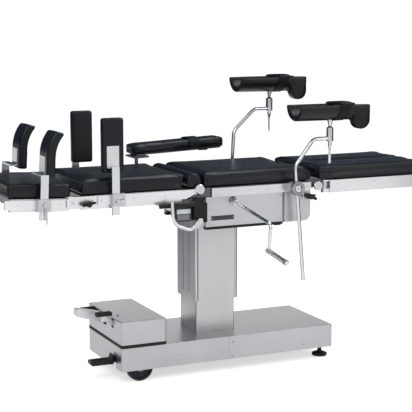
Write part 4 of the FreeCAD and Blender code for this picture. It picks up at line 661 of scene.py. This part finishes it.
@dataclass
class Cushion:
    """A soft piece: a copy of a plain solid, filled out like foam in a skin."""

    node: str
    body: str
    finish: Finish = CUSHION_SKIN
    voxel: float = 0.006
    tuck: float = 0.002
    swell: float = 0.006
    side_room: float = 0.0015
    pressure: float = 4.0
    fill: float = 0.9
    ease: int = 5
    steps: int = 16
    seat: float = 0.008

    def build(self, source: bpy.types.Object) -> None:
        """Makes the cushion in place of its solid.

        Args:
            source: the solid's object in the frame.
        """
        low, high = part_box(self.node)
        piece = self.skin(source)
        start = [v.co.copy() for v in piece.data.vertices]
        if self.swell:
            self.inflate(piece, low.z + self.seat)
            self.hold(piece, start, low, high)
        for polygon in piece.data.polygons:
            polygon.use_smooth = True
        finer = piece.modifiers.new("Finer", "SUBSURF")
        finer.levels = 1
        finer.render_levels = 1
        piece.data.materials.append(self.finish.material())
        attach(piece, self.body)
        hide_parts(self.node)
        log.info("made %s on %s", piece.name, self.body)

    def skin(self, source: bpy.types.Object) -> bpy.types.Object:
        """An even skin over the solid, drawn in a little to leave room for the filling."""
        mesh = bmesh.new()
        mesh.from_mesh(source.data)
        bmesh.ops.remove_doubles(mesh, verts=mesh.verts, dist=1e-5)
        piece = solid(self.node + "_cushion", mesh)
        remesh = piece.modifiers.new("Even", "REMESH")
        remesh.mode = "VOXEL"
        remesh.voxel_size = self.voxel
        self.apply(piece)
        mesh = bmesh.new()
        mesh.from_mesh(piece.data)
        for _ in range(self.ease):
            bmesh.ops.smooth_vert(
                mesh, verts=mesh.verts, factor=0.5, use_axis_x=True, use_axis_y=True, use_axis_z=True
            )
        mesh.normal_update()
        for vert in mesh.verts:
            vert.co -= vert.normal * self.tuck
        mesh.to_mesh(piece.data)
        mesh.free()
        return piece

    @staticmethod
    def apply(piece: bpy.types.Object) -> None:
        """Makes the piece's modifiers part of its mesh."""
        graph = bpy.context.evaluated_depsgraph_get()
        data = bpy.data.meshes.new_from_object(piece.evaluated_get(graph))
        piece.modifiers.clear()
        piece.data = data

    def inflate(self, piece: bpy.types.Object, seat_height: float) -> None:
        """Fills the skin under pressure, with its underside held."""
        held = piece.vertex_groups.new(name="seated")
        held.add([v.index for v in piece.data.vertices if v.co.z < seat_height], 1.0, "REPLACE")
        cloth = piece.modifiers.new("Filling", "CLOTH")
        settings = cloth.settings
        settings.quality = 5
        settings.use_pressure = True
        settings.uniform_pressure_force = self.pressure
        settings.effector_weights.gravity = 0.0
        settings.vertex_group_mass = held.name
        settings.tension_stiffness = 25.0
        settings.compression_stiffness = 25.0
        scene = bpy.context.scene
        cloth.point_cache.frame_end = self.steps + 1
        for frame in range(1, self.steps + 1):
            scene.frame_set(frame)
        self.apply(piece)
        piece.vertex_groups.clear()
        scene.frame_set(1)

    def hold(self, piece: bpy.types.Object, start: list[Vector], low: Vector, high: Vector) -> None:
        """Keeps every point near where it began and inside the room that the cushion has."""
        side = self.side_room
        for vert, first in zip(piece.data.vertices, start):
            step = vert.co - first
            if step.length > self.swell:
                step *= self.swell / step.length
            point = first + step
            point.x = min(max(point.x, low.x - side), high.x + side)
            point.y = min(max(point.y, low.y - side), high.y + side)
            point.z = min(max(point.z, low.z), high.z + self.swell)
            vert.co = point


@dataclass
class Screws:
    """Socket-head screws of one size, on one long side of a body."""

    name: str
    body: str
    side: Side
    face: float
    spots: Sequence[Pair]
    radius: float = 0.0042
    height: float = 0.0009
    finish: Finish = CHROME

    def build(self) -> None:
        """Makes the set as one piece, with one screw at each (x, z) spot of the face."""
        blank = Blank()
        for x, z in self.spots:
            place = self.side.at(x, self.face, z)
            blank.socket_head(self.radius, self.height, place, self.side.way, self.radius * 0.5)
        blank.finished(f"{self.name}_{self.side.word}", self.finish, self.body)


@dataclass
class Base:
    """The screws, pedal treads and wheel caps of the wheeled base."""

    seam_inset: float = 0.020
    end_inset: float = 0.165
    top_screw_drop: float = 0.030
    seam_screw_rise: float = 0.010
    end_screw_rise: float = 0.027
    bolt_inset: float = 0.032
    washer: float = 0.001
    tread_rib: float = 0.0022
    tread_length: float = 0.074
    tread_width: float = 0.028
    tread_thick: float = 0.017
    tread_rest: float = 0.004
    rear_drop: float = 0.022
    skin: float = 0.0006
    rib_count: int = 6
    rib_gap: float = 0.003
    brake_ribs: int = 7
    brake_pitch: float = 0.012
    brake_rib_width: float = 0.008
    brake_inset: float = 0.010
    brake_y: Pair = (-0.136, -0.104)
    brake_z: Pair = (0.1035, 0.1062)
    cap_seat: float = 0.002

    def build(self) -> None:
        """Makes the small pieces of the base."""
        self.cover_screws()
        self.pump_bolt()
        self.treads()
        self.brake_cap()
        for side in Side:
            self.hub_cap(side)

    def cover_screws(self) -> None:
        """The screws of the foot cover, on both long sides."""
        low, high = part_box("base_cover_foot")
        seam, end = low.x + self.seam_inset, high.x - self.end_inset
        spots = [
            (seam, high.z - self.top_screw_drop),
            (seam, low.z + self.seam_screw_rise),
            (end, low.z + self.end_screw_rise),
        ]
        for side in Side:
            Screws("base_cover_screws", "base", side, high.y, spots, 0.0034, 0.0012, SERRATED_CAST).build()

    def pump_bolt(self) -> None:
        """The small dark screw on top of the pump cover, on its washer."""
        low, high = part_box("pump_cover")
        spot, up = Vector((low.x + self.bolt_inset, low.y * 0.4, high.z)), Axis.Z.way
        blank = Blank().turned([(0, 0), (0.0065, 0), (0.0065, self.washer), (0.0, self.washer)], spot, up, 24)
        blank.socket_head(0.0045, 0.0026, spot + up * self.washer, up, 0.002)
        blank.finished("pump_cover_bolt", SERRATED_CAST, "base")

    def treads(self) -> None:
        """Ribbed rubber caps over the two treads of the lowering pedal."""
        low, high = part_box("lowering_pedal")
        left, right = low.x - self.skin, low.x + self.tread_length + self.skin
        inner, outer = high.y - self.tread_width - self.skin, high.y + self.skin
        step, gap = (right - left - self.tread_rest) / self.rib_count, self.rib_gap
        for side in Side:
            top = high.z if side is Side.FRONT else high.z - self.rear_drop
            bottom = top - self.tread_thick - self.skin
            blank = Blank().block(side.at(left, inner, bottom), side.at(right, outer, top + self.skin), 0.003)
            for x in [left + rib * step for rib in range(self.rib_count)]:
                end = side.at(x + step, outer - gap, top + self.tread_rib)
                blank.block(side.at(x + gap, inner + gap, top), end, 0.0007, 2)
            blank.finished("lowering_tread_cap_" + side.word, BLACK_RUBBER, "lowering")

    def brake_cap(self) -> None:
        """The ribbed pad on the brake pedal."""
        low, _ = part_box("brake_pedal")
        blank = Blank()
        for rib in range(self.brake_ribs):
            x = low.x + self.brake_inset + rib * self.brake_pitch
            start = Vector((x, self.brake_y[0], self.brake_z[0]))
            end = Vector((x + self.brake_rib_width, self.brake_y[1], self.brake_z[1]))
            blank.block(start, end, 0.0009, 2)
        blank.finished("brake_pedal_ribs", BLACK_RUBBER, "brake")

    def hub_cap(self, side: Side) -> None:
        """The pressed cap over the end of a wheel's axle."""
        wheel = "wheel_" + side.word
        low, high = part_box(wheel)
        outer = high.y if side is Side.REAR else low.y
        middle = (low + high) / 2
        base = Vector((middle.x, outer - side.value * self.cap_seat, middle.z))
        outline = [(0.0085, 0.0), (0.018, 0.0), (0.018, 0.002), (0.013, 0.005), (0.0085, 0.0055)]
        blank = Blank().turned(outline + outline[:1], base, side.way)
        blank.finished("wheel_hub_cap_" + side.word, SERRATED_CAST, wheel)


@dataclass
class Column:
    """The outer sleeve's edge beads, and black strips painted as the shadow lines of its grooves and panel
    gaps.
    """

    bead: float = 0.0022
    bead_inset: float = 0.0065
    groove: float = 0.0028
    left_inset: float = 0.0098
    right_inset: float = 0.0062
    proud: float = 0.0005
    margin: float = 0.001
    end_groove_y: float = 0.034
    end_groove_half: float = 0.0012
    end_groove_rise: float = 0.03

    def build(self) -> None:
        """Makes the beads and the painted shadow strips, which ride on the sleeve."""
        low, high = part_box("column_outer_sleeve")
        bottom, top = low.z + self.margin, high.z - self.margin
        inner, outer = high.y - self.margin, high.y + self.proud
        bead_x, foot = low.x + self.bead_inset, bottom + self.end_groove_rise
        near, far = self.end_groove_y - self.end_groove_half, self.end_groove_y + self.end_groove_half
        beads, shadow_strips = Blank(), Blank()
        for side in Side:
            beads.bar(side.at(bead_x, high.y, bottom), side.at(bead_x, high.y, top), self.bead, self.bead, 12)
            # Painted shadow lines: black strips standing just proud of the sleeve, where its grooves and
            # panel gaps lie in shade.
            for x in (low.x + self.left_inset, high.x - self.right_inset):
                shadow_strips.block(side.at(x, inner, bottom), side.at(x + self.groove, outer, top), 0.0002, 1)
            # A painted shadow line down the sleeve's end face.
            end = side.at(low.x + self.margin, far, top)
            shadow_strips.block(side.at(low.x - self.proud, near, foot), end, 0.0002, 1)
        beads.finished("column_edge_beads", CHROME, "lift")
        # The painted shadow strips take the black rubber finish only for its dark colour.
        shadow_strips.finished("column_grooves", BLACK_RUBBER, "lift")


@dataclass
class Crank:
    """The crank's dark joint and the end ring of its sleeve."""

    ring_radius: float = 0.0126
    sleeve_inset: float = 0.012
    ring_seat: float = 0.0013
    joint_gap: float = 0.004

    def build(self) -> None:
        """Makes the end ring and the joint's collar."""
        low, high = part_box("crank_handle")
        root = Vector(((low.x + high.x) / 2, high.y, high.z - self.sleeve_inset))
        tip = Vector((root.x, low.y + self.ring_seat, low.z + self.sleeve_inset))
        radius = self.ring_radius
        ring = [(0.0, 0.0005), (0.006, 0.0005), (0.0065, 0.002), (radius - 0.001, 0.002), (radius, 0.001)]
        ring += [(radius, -0.006), (radius - 0.0008, -0.0065), (0.0, -0.0065)]
        blank = Blank().turned(ring, tip, tip - root, 28)
        blank.finished("crank_handle_end_ring", SERRATED_CAST, "crank_handle")
        joint = Vector((root.x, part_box("side_covers")[0].y - self.joint_gap, CRANK_Z))
        sleeve = [(0.0, 0.0), (0.0125, 0.0), (0.0132, 0.002), (0.0132, 0.016), (0.0105, 0.026), (0.0, 0.026)]
        blank = Blank().turned(sleeve, joint, Side.FRONT.way, 28)
        blank.finished("crank_joint_sleeve", SERRATED_CAST, "crank")


@dataclass(frozen=True)
class Slab:
    """A rounded block on the front panel, which stands out of its face and may reach behind it."""

    name: str
    finish: Finish
    x: Pair
    z: Pair
    proud: float
    depth: float
    edge: float
    segments: int = 3

    def build(self, face: float) -> None:
        """Makes the block on the panel's face."""
        start = Vector((self.x[0], face - self.proud, self.z[0]))
        end = Vector((self.x[1], face + self.depth, self.z[1]))
        Blank().block(start, end, self.edge, self.segments).finished(self.name, self.finish, "table_frame")


PLATE = Slab("blank_plate", PLATE_FACE, (-0.116, 0.001), (0.731, 0.752), 0.0014, -0.0001, 0.0006, 2)
LATCH = (
    Slab("latch_back", BLACK_MOULDING, (-0.303, -0.200), (0.738, 0.7985), 0.006, 0.018, 0.003),
    Slab("latch_window", PALE_SLEEVE, (-0.290, -0.222), (0.774, 0.7955), 0.0115, 0.0, 0.002),
    Slab("latch_foot", SERRATED_CAST, (-0.290, -0.214), (0.742, 0.7735), 0.0105, 0.0, 0.006),
)


@dataclass
class TableFrame:
    """The seat section's fittings: blank plate, crank socket, latch, hinge bolts and screws."""

    rivet_inset: float = 0.005
    back_bolt_inset: float = 0.024
    leg_bolt_inset: float = 0.023
    leg_bolt_z: float = 0.860
    leg_cap_depth: float = 0.0065
    bolt_seat: float = 0.0002
    panel_end: float = -0.125
    seam_left: float = 0.242
    seam_right: float = 0.278
    strip_left: float = 0.2520
    strip_right: float = 0.2640

    def build(self) -> None:
        """Makes the fittings."""
        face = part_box("side_covers")[0].y
        self.blank_plate(face)
        ring = [(0.0135, 0.0), (0.017, 0.0), (0.017, 0.001), (0.0155, 0.003), (0.0135, 0.003)]
        bezel = Blank().turned(ring + ring[:1], Vector((CRANK_X, face, CRANK_Z)), Side.FRONT.way, 40)
        bezel.finished("crank_socket_bezel", SERRATED_CAST, "table_frame")
        for make in (self.hinge_bolts, self.panel_screws, self.rail_screws, self.cover_strip):
            for side in Side:
                make(side)
        for slab in LATCH:
            slab.build(face)

    def blank_plate(self, face: float) -> None:
        """The plate on the front panel, left blank, held by two rivets."""
        PLATE.build(face)
        left, right = PLATE.x
        blank = Blank()
        for x in (left + self.rivet_inset, right - self.rivet_inset):
            place = Vector((x, face - PLATE.proud, sum(PLATE.z) / 2))
            blank.turned([(0, 0.001), (0.0014, 0.0007), (0.002, 0)], place, Side.FRONT.way, 16)
        blank.finished("blank_plate_rivets", CHROME, "table_frame")

    def hinge_bolts(self, side: Side) -> None:
        """A socket bolt in the middle of each hinge cap."""
        low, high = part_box("hinge_pins")
        back = (low.x + self.back_bolt_inset, high.y, high.z - self.back_bolt_inset)
        leg = (high.x - self.leg_bolt_inset, high.y - self.leg_cap_depth, self.leg_bolt_z)
        blank = Blank()
        for x, y, z in (back, leg):
            blank.socket_head(0.008, 0.0030, side.at(x, y - self.bolt_seat, z), side.way, 0.0038)
        blank.finished("hinge_bolts_" + side.word, CHROME, "table_frame")

    def panel_screws(self, side: Side) -> None:
        """The screws of the side panels, at the end and on both sides of the gap between them."""
        low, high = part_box("side_covers")
        bottom, top = low.z + 0.018, high.z - 0.016
        spots = [(self.panel_end, bottom), (self.seam_left, bottom), (self.seam_left, top)]
        spots += [(self.seam_right, top), (self.seam_right, low.z + 0.020)]
        Screws("side_panel_screws", "table_frame", side, high.y, spots, 0.0026, 0.0010, SERRATED_CAST).build()

    def rail_screws(self, side: Side) -> None:
        """The countersunk screws of the seat rails."""
        low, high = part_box("seat_rails")
        middle = (low + high) / 2
        spots = [(x, middle.z) for x in (low.x + 0.04, middle.x + 0.03, high.x - 0.02)]
        Screws("seat_rail_screws", "table_frame", side, high.y, spots).build()

    def cover_strip(self, side: Side) -> None:
        """A dark block laid over the gap between the two side panels, where it lies in shade: painted shade.
        """
        low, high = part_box("side_covers")
        # Painted shade: a dark block just proud of the panel faces, standing in for the shadow inside the gap
        # between the panels.
        start = side.at(self.strip_left, high.y - 0.020, low.z + 0.012)
        blank = Blank().block(start, side.at(self.strip_right, high.y + 0.0004, high.z - 0.001), 0.0012, 2)
        blank.finished("panel_edging_" + side.word, SERRATED_CAST, "table_frame")


@dataclass
class Sections:
    """The back, head and leg sections' small fittings."""

    back_face: float = 0.256
    back_rail_z: float = 0.862
    back_rail_xs: tuple[float, ...] = (-0.650, -0.500, -0.350)
    pivot_x: float = -0.781
    pivot_z: float = 0.858
    bolt_seat: float = 0.0002
    head_inset: float = 0.060
    head_screw_z: float = 0.8640
    inner_head_spot: Pair = (-0.840, 0.8545)
    deck_drop: float = 0.018

    def build(self) -> None:
        """Makes the fittings."""
        for make in (self.back_screws, self.head_screws, self.leg_screws):
            for side in Side:
                make(side)

    def back_screws(self, side: Side) -> None:
        """The rail screws of the back section and the pivot bolt of the head."""
        _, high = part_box("back_frame")
        spots = [(x, self.back_rail_z) for x in self.back_rail_xs]
        Screws("back_rail_screws", "back", side, self.back_face, spots).build()
        place = side.at(self.pivot_x, high.y - self.bolt_seat, self.pivot_z)
        blank = Blank().socket_head(0.0075, 0.004, place, side.way, 0.0036)
        blank.finished("head_pivot_bolt_" + side.word, CHROME, "back")

    def head_screws(self, side: Side) -> None:
        """The rail screws of the head section."""
        low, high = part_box("head_frame")
        spots = [(low.x + self.head_inset, self.head_screw_z), self.inner_head_spot]
        Screws("head_rail_screws", "head", side, high.y, spots).build()

    def leg_screws(self, side: Side) -> None:
        """The deck screws on a leg section's outer face."""
        low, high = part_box("leg_frame_" + side.word)
        face = max(-low.y, high.y)
        spots = [(x, high.z - self.deck_drop) for x in (low.x + 0.07, low.x + 0.28, high.x - 0.05)]
        Screws("leg_deck_screws", "leg_" + side.word, side, face, spots, 0.0038, 0.0018).build()


@dataclass
class ClampLever:
    """A clamp's pressure screw with its hub and swinging lever."""

    name: str
    body: str
    side: Side
    x: float
    z: float
    angle: float
    length: float
    root: float
    tip: float
    face: float = 0.2798

    def build(self) -> None:
        """Makes the screw's hub, its socket head and its lever."""
        way = self.side.way
        place = self.side.at(self.x, self.face, self.z)
        outline = [(0, 0), (0.0095, 0), (0.0105, 0.0015), (0.0105, 0.006), (0.008, 0.009), (0, 0.009)]
        blank = Blank().turned(outline, place, way, 28)
        blank.socket_head(0.006, 0.005, place + way * 0.0088, way, 0.003)
        turn = math.radians(self.angle)
        swing = Vector((math.cos(turn), 0, math.sin(turn)))
        start = place + way * 0.006
        end = start + swing * self.length + way * 0.002
        blank.bar(start, end, self.root, self.tip)
        blank.bar(end, end + swing * 0.002, self.tip, self.tip * 0.6)
        blank.finished(f"{self.name}_{self.side.word}", CHROME, self.body)


def clamp_levers(side: Side) -> list[ClampLever]:
    """One side's clamp levers: a short thick one on the back section and a long thin one on the head."""
    head_x = -0.917 if side is Side.FRONT else -0.935
    return [
        ClampLever("body_clamp_lever", "back", side, -0.583, 0.853, 14.0, 0.030, root=0.0045, tip=0.0062),
        ClampLever("head_clamp_lever", "head", side, head_x, 0.860, -86.0, 0.082, root=0.0034, tip=0.0026),
    ]


@dataclass
class RotaryClamp:
    """The serrated face, centre screw and pin of a leg holder's rotary clamp."""

    side: Side
    front_x: float = 0.3054
    rear_x: float = 0.2460
    teeth: int = 36
    inner: float = 0.0155
    outer: float = 0.0325
    depth: float = 0.024

    def build(self) -> None:
        """Makes the hub, the serrated ring and the pin."""
        low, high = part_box("seat_clamps")
        way = self.side.way
        x, y = (self.front_x, low.y) if self.side is Side.FRONT else (self.rear_x, high.y)
        base = Vector((x, y, (low.z + high.z) / 2))
        outline = [(0.0, 0.0), (0.015, 0.0), (0.015, 0.003), (0.011, 0.006), (0.0, 0.006)]
        blank = Blank().turned(outline, base - way * 0.0002, way, 40)
        blank.socket_head(0.0085, 0.005, base + way * 0.0055, way, 0.004)
        blank.finished("rotary_clamp_hub_" + self.side.word, CHROME, "table_frame")
        ring = Blank()
        for tooth in range(self.teeth):
            turn = math.tau * tooth / self.teeth
            radial = Vector((math.cos(turn), 0, math.sin(turn)))
            start = base - way * self.depth + radial * self.outer
            ring.bar(start, start + way * (self.depth + 0.0005), 0.0017, 0.0017, 6)
            ring.bar(base + radial * self.inner, base + radial * self.outer, 0.0010, 0.0018, 6)
        ring.finished("rotary_clamp_serration_" + self.side.word, SERRATED_CAST, "table_frame")
        top = base - way * (self.depth / 2) + Vector((self.outer, 0, -0.018))
        pin = Blank().bar(top, top + Vector((0.002, 0, -0.062)), 0.0026, 0.0020, 12)
        pin.finished("rotary_clamp_pin_" + self.side.word, CHROME, "table_frame")


@dataclass
class StrapLoop:
    """A strap closed round a padded piece."""

    name: str
    body: str
    ring: Sequence[Vector]
    width: Vector
    thickness: float = 0.003

    def build(self) -> None:
        """Makes the strap."""
        blank = Blank().band(self.ring, self.width, self.thickness)
        blank.finished(self.name, STRAP_WEB, self.body, smooth=60.0)


@dataclass
class KneeCrutch:
    """A knee crutch's strap and its lining, over the padded trough."""

    side: Side
    strap_inset: float = 0.155
    strap_width: float = 0.052
    slack: float = 0.0015
    hump: float = 0.007
    slant: float = 0.018
    points: int = 44

    def build(self) -> None:
        """Makes the strap round the trough, and its lining."""
        word = self.side.word
        low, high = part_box("crutch_" + self.side.word)
        radius = (high.y - low.y) / 2 + self.slack
        middle, rim = (low.y + high.y) / 2, high.z
        start = high.x - self.strap_inset
        ring = []
        for index in range(self.points):
            turn = math.tau * index / self.points
            up = math.sin(turn)
            lift = up * (self.hump if up > 0 else radius)
            ring.append(Vector((start + self.slant * up, middle + math.cos(turn) * radius, rim + lift)))
        StrapLoop("crutch_strap_" + word, "crutch_" + word, ring, Vector((self.strap_width, 0, 0))).build()
        lining = Blank().block(
            Vector((start + 0.004, middle - radius * 0.93, rim - 0.010)),
            Vector((start + self.strap_width + 0.014, middle + radius * 0.93, rim + self.hump * 0.8)),
            0.0055,
        )
        lining.finished("crutch_strap_lining_" + word, CRUTCH_SKIN, "crutch_" + word)


@dataclass
class LeverSleeve:
    """The pale plastic sleeve on the lower end of a crutch's lock lever."""

    side: Side
    radius: float = 0.0062
    length: float = 0.060

    def build(self) -> None:
        """Makes the sleeve round the lever."""
        low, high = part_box("lock_lever_" + self.side.word)
        base = Vector(((low.x + high.x) / 2, (low.y + high.y) / 2, low.z + 0.0004))
        wide, narrow, end = self.radius, self.radius * 0.8, self.length
        outline = [(0.0, 0.0), (narrow, 0.0), (wide, 0.002), (wide, end - 0.004), (narrow, end), (0.0, end)]
        blank = Blank().turned(outline, base, Axis.Z.way, 24)
        blank.finished("lock_lever_sleeve_" + self.side.word, PALE_SLEEVE, "lock_lever_" + self.side.word)


@dataclass
class WingKnob:
    """The winged grip of a leg section's lock knob."""

    side: Side
    inset: float = 0.0085
    hub: float = 0.004
    reach: float = 0.030
    root: float = 0.0062
    tip: float = 0.0080
    tilt: float = math.radians(-24)

    def build(self) -> None:
        """Makes the two wings with their rounded ends."""
        low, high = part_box("leg_lock_knobs")
        middle = self.side.at((low.x + high.x) / 2, high.y - self.inset, (low.z + high.z) / 2)
        swing = Vector((math.cos(self.tilt), 0, math.sin(self.tilt)))
        blank = Blank()
        for way in (swing, -swing):
            end = middle + way * self.reach
            blank.bar(middle + way * self.hub, end, self.root, self.tip, 20)
            blank.bar(end, middle + way * (self.reach + 0.004), self.tip, self.tip * 0.65, 20)
        blank.finished("leg_knob_wings_" + self.side.word, BLACK_MOULDING, "leg_knobs", smooth=50.0)


@dataclass
class ArmBoard:
    """The arm board's strap, drawn over the sloping cushion, and its buckle."""

    left: float = 0.029
    width: float = 0.055
    pivot: float = -0.268
    dip: float = math.radians(2.3)
    underside: float = 0.980
    thick: float = 0.0485
    slack: float = 0.0025
    hump: float = 0.008
    sag: float = 0.004
    points: int = 56

    def build(self) -> None:
        """Makes the strap and the buckle under the board."""
        low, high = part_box("arm_pad")
        bottom = self.underside + (self.left - self.pivot) * math.tan(self.dip)
        middle = Vector((self.left, (low.y + high.y) / 2, bottom + self.thick / 2))
        half_y, half_z = (high.y - low.y) / 2 + self.slack, self.thick / 2
        ring = []
        for index in range(self.points):
            turn = math.tau * index / self.points
            across, up = math.cos(turn), math.sin(turn)
            reach = half_z + (self.hump if up > 0 else self.sag) * (1 - across * across)
            y = math.copysign(abs(across) ** 0.5, across) * half_y
            ring.append(middle + Vector((0, y, math.copysign(abs(up) ** 0.6, up) * reach)))
        width = Vector((self.width, 0, self.width * math.tan(self.dip)))
        StrapLoop("arm_strap", "arm_board", ring, width, 0.0028).build()
        start = Vector((self.left + 0.052, low.y + 0.004, bottom - 0.005))
        buckle = Blank().block(start, start + Vector((0.048, 0.052, 0.014)), 0.004)
        buckle.finished("arm_strap_buckle", BLACK_MOULDING, "arm_board")


@dataclass(frozen=True)
class Card:
    """A card that only mirrored rays see, which gives bright metal and smooth skins their darker side."""

    name: str
    middle: Place
    size: Pair
    facing: Place
    glow: Colour

    def build(self) -> None:
        """Hangs the card up."""
        turn = Vector(self.facing).to_track_quat("Z", "Y").to_matrix().to_4x4()
        shader = Shader(self.name)
        shader.lit((0.0, 0.0, 0.0), 1.0, self.glow)
        card = sheet(self.name, self.size, Matrix.Translation(self.middle) @ turn, shader)
        card.visible_camera = False
        card.visible_diffuse = False
        card.visible_shadow = False
        card.visible_transmission = False


CARDS = (
    Card("card_for_pad_tops", (0.9, 1.05, 1.95), (5.2, 1.9), (0, -1, 0), (0.060, 0.080, 0.115)),
    Card("card_left", (-2.7, 0.8, 1.2), (2.8, 2.6), (1, 0, 0), (0.04, 0.042, 0.046)),
    Card("card_right", (2.5, -0.8, 1.1), (3.0, 2.6), (-1, 0, 0), (0.03, 0.032, 0.035)),
    Card("card_low_behind", (1.5, 3.4, 0.28), (9.0, 0.56), (0, -1, 0), (0.05, 0.052, 0.056)),
    Card("card_overhead", (0.0, -2.1, 3.3), (8.0, 0.9), (0, 0, -1), (0.08, 0.082, 0.086)),
    Card("card_behind_column", (-0.62, 1.0, 0.34), (0.34, 0.56), (0, -1, 0), (0.16, 0.175, 0.20)),
)


@dataclass
class Studio:
    """The floor, the backdrop, the light and the camera."""

    camera_place: Place = (-2.57756, -5.52516, 1.72187)
    pitch: float = 0.157026
    yaw: float = 0.432333
    lens: float = 112.76
    sensor: float = 36.0
    floor_size: float = 400.0
    ambient: Colour = (0.52, 0.52, 0.53)
    aim: Place = (0.0, 0.0, 0.7)

    def build(self) -> None:
        """Sets the whole studio up."""
        self.camera()
        self.world()
        self.floor()
        self.light("key", (-2.6, -3.4, 3.6), (2.6, 2.6), 80.0)
        self.light("fill", (3.4, -3.2, 2.4), (2.4, 2.4), 36.0)
        self.light("top", (1.3, 0.2, 4.2), (4.6, 0.9), 62.0)
        for card in CARDS:
            card.build()
        bpy.context.scene.view_settings.view_transform = "Standard"

    def camera(self) -> None:
        """The camera at the photograph's angle."""
        data = bpy.data.cameras.new("camera")
        data.lens = self.lens
        data.sensor_width = self.sensor
        camera = linked("camera", data)
        camera.location = self.camera_place
        camera.rotation_euler = (math.pi / 2 - self.pitch, 0.0, -self.yaw)
        bpy.context.scene.camera = camera

    def world(self) -> None:
        """Even soft light, with white where it is seen or mirrored."""
        world = bpy.data.worlds.new("studio")
        world.use_nodes = True
        bpy.context.scene.world = world
        shader = Shader("studio", world.node_tree)
        seen = shader.ray("Camera").largest(shader.ray("Glossy")).largest(shader.ray("Transmission"))
        colour = shader.blend(seen, self.ambient, (1.0, 1.0, 1.0))
        shade = shader.node("ShaderNodeBackground", {}, {"Color": colour, "Strength": 1.0})
        output = world.node_tree.nodes.new("ShaderNodeOutputWorld")
        world.node_tree.links.new(shade.socket, output.inputs["Surface"])

    def floor(self) -> None:
        """A plain pale floor that keeps the shadow, and looks darker in mirrored rays than to the camera."""
        shader = Shader("pale_floor")
        black, dim, white = (0.0, 0.0, 0.0), (0.42, 0.42, 0.42), (0.60, 0.60, 0.60)
        glow = shader.blend(shader.ray("Camera"), shader.blend(shader.ray("Glossy"), black, dim), white)
        shader.lit((0.86, 0.86, 0.86), 0.9, glow)
        floor = sheet("floor", (self.floor_size, self.floor_size), Matrix.Identity(4), shader)

    def light(self, name: str, place: Place, size: Pair, power: float) -> None:
        """A soft rectangular lamp aimed at the middle of the table.

        Args:
            name: the lamp's name.
            place: where it hangs.
            size: its width and height.
            power: its power in watts.
        """
        data = bpy.data.lights.new(name, "AREA")
        data.shape = "RECTANGLE"
        data.size, data.size_y = size
        data.energy = power
        lamp = linked(name, data)
        lamp.location = place
        lamp.rotation_euler = (Vector(self.aim) - Vector(place)).to_track_quat("-Z", "Y").to_euler()


def cushions() -> list[Cushion]:
    """Every padded piece of the table."""
    pads = [
        Cushion("seat_pad", "table_frame"),
        Cushion("back_pad", "back"),
        Cushion("head_pad", "head", swell=0.002),
        Cushion("bridge_pad", "bridge", voxel=0.005, swell=0.0, tuck=0.0005),
        Cushion("arm_pad", "arm_board", voxel=0.0045, swell=0.004, fill=0.85),
    ]
    for side in Side:
        word = side.word
        crutch = "crutch_" + word
        pads.append(Cushion("leg_pad_" + word, "leg_" + word))
        for pad, body in (("body_pad_", "body_support_"), ("shoulder_pad_", "shoulder_")):
            pads.append(Cushion(pad + word, body + word, voxel=0.004, swell=0.0, tuck=0.0002))
        form = {"voxel": 0.0042, "swell": 0.003, "tuck": 0.001, "ease": 4, "fill": 0.8, "seat": 0.0}
        pads.append(Cushion(crutch, crutch, CRUTCH_SKIN, **form))
    return pads


def main() -> None:
    """Loads the frame, dresses it and sets up the studio."""
    logging.basicConfig(level=logging.INFO, format="%(name)s: %(message)s")
    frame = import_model()
    for finish, names in NODE_FINISHES.items():
        for name in names:
            dress(frame["nodes"][name], finish)
    for cushion in cushions():
        cushion.build(frame["nodes"][cushion.node])
    for assembly in (Base(), Column(), Crank(), TableFrame(), Sections()):
        assembly.build()
    for side in Side:
        for piece in (*clamp_levers(side), RotaryClamp(side), KneeCrutch(side), WingKnob(side)):
            piece.build()
    LeverSleeve(Side.FRONT).build()
    ArmBoard().build()
    Studio().build()


if __name__ == "__main__":
    main()
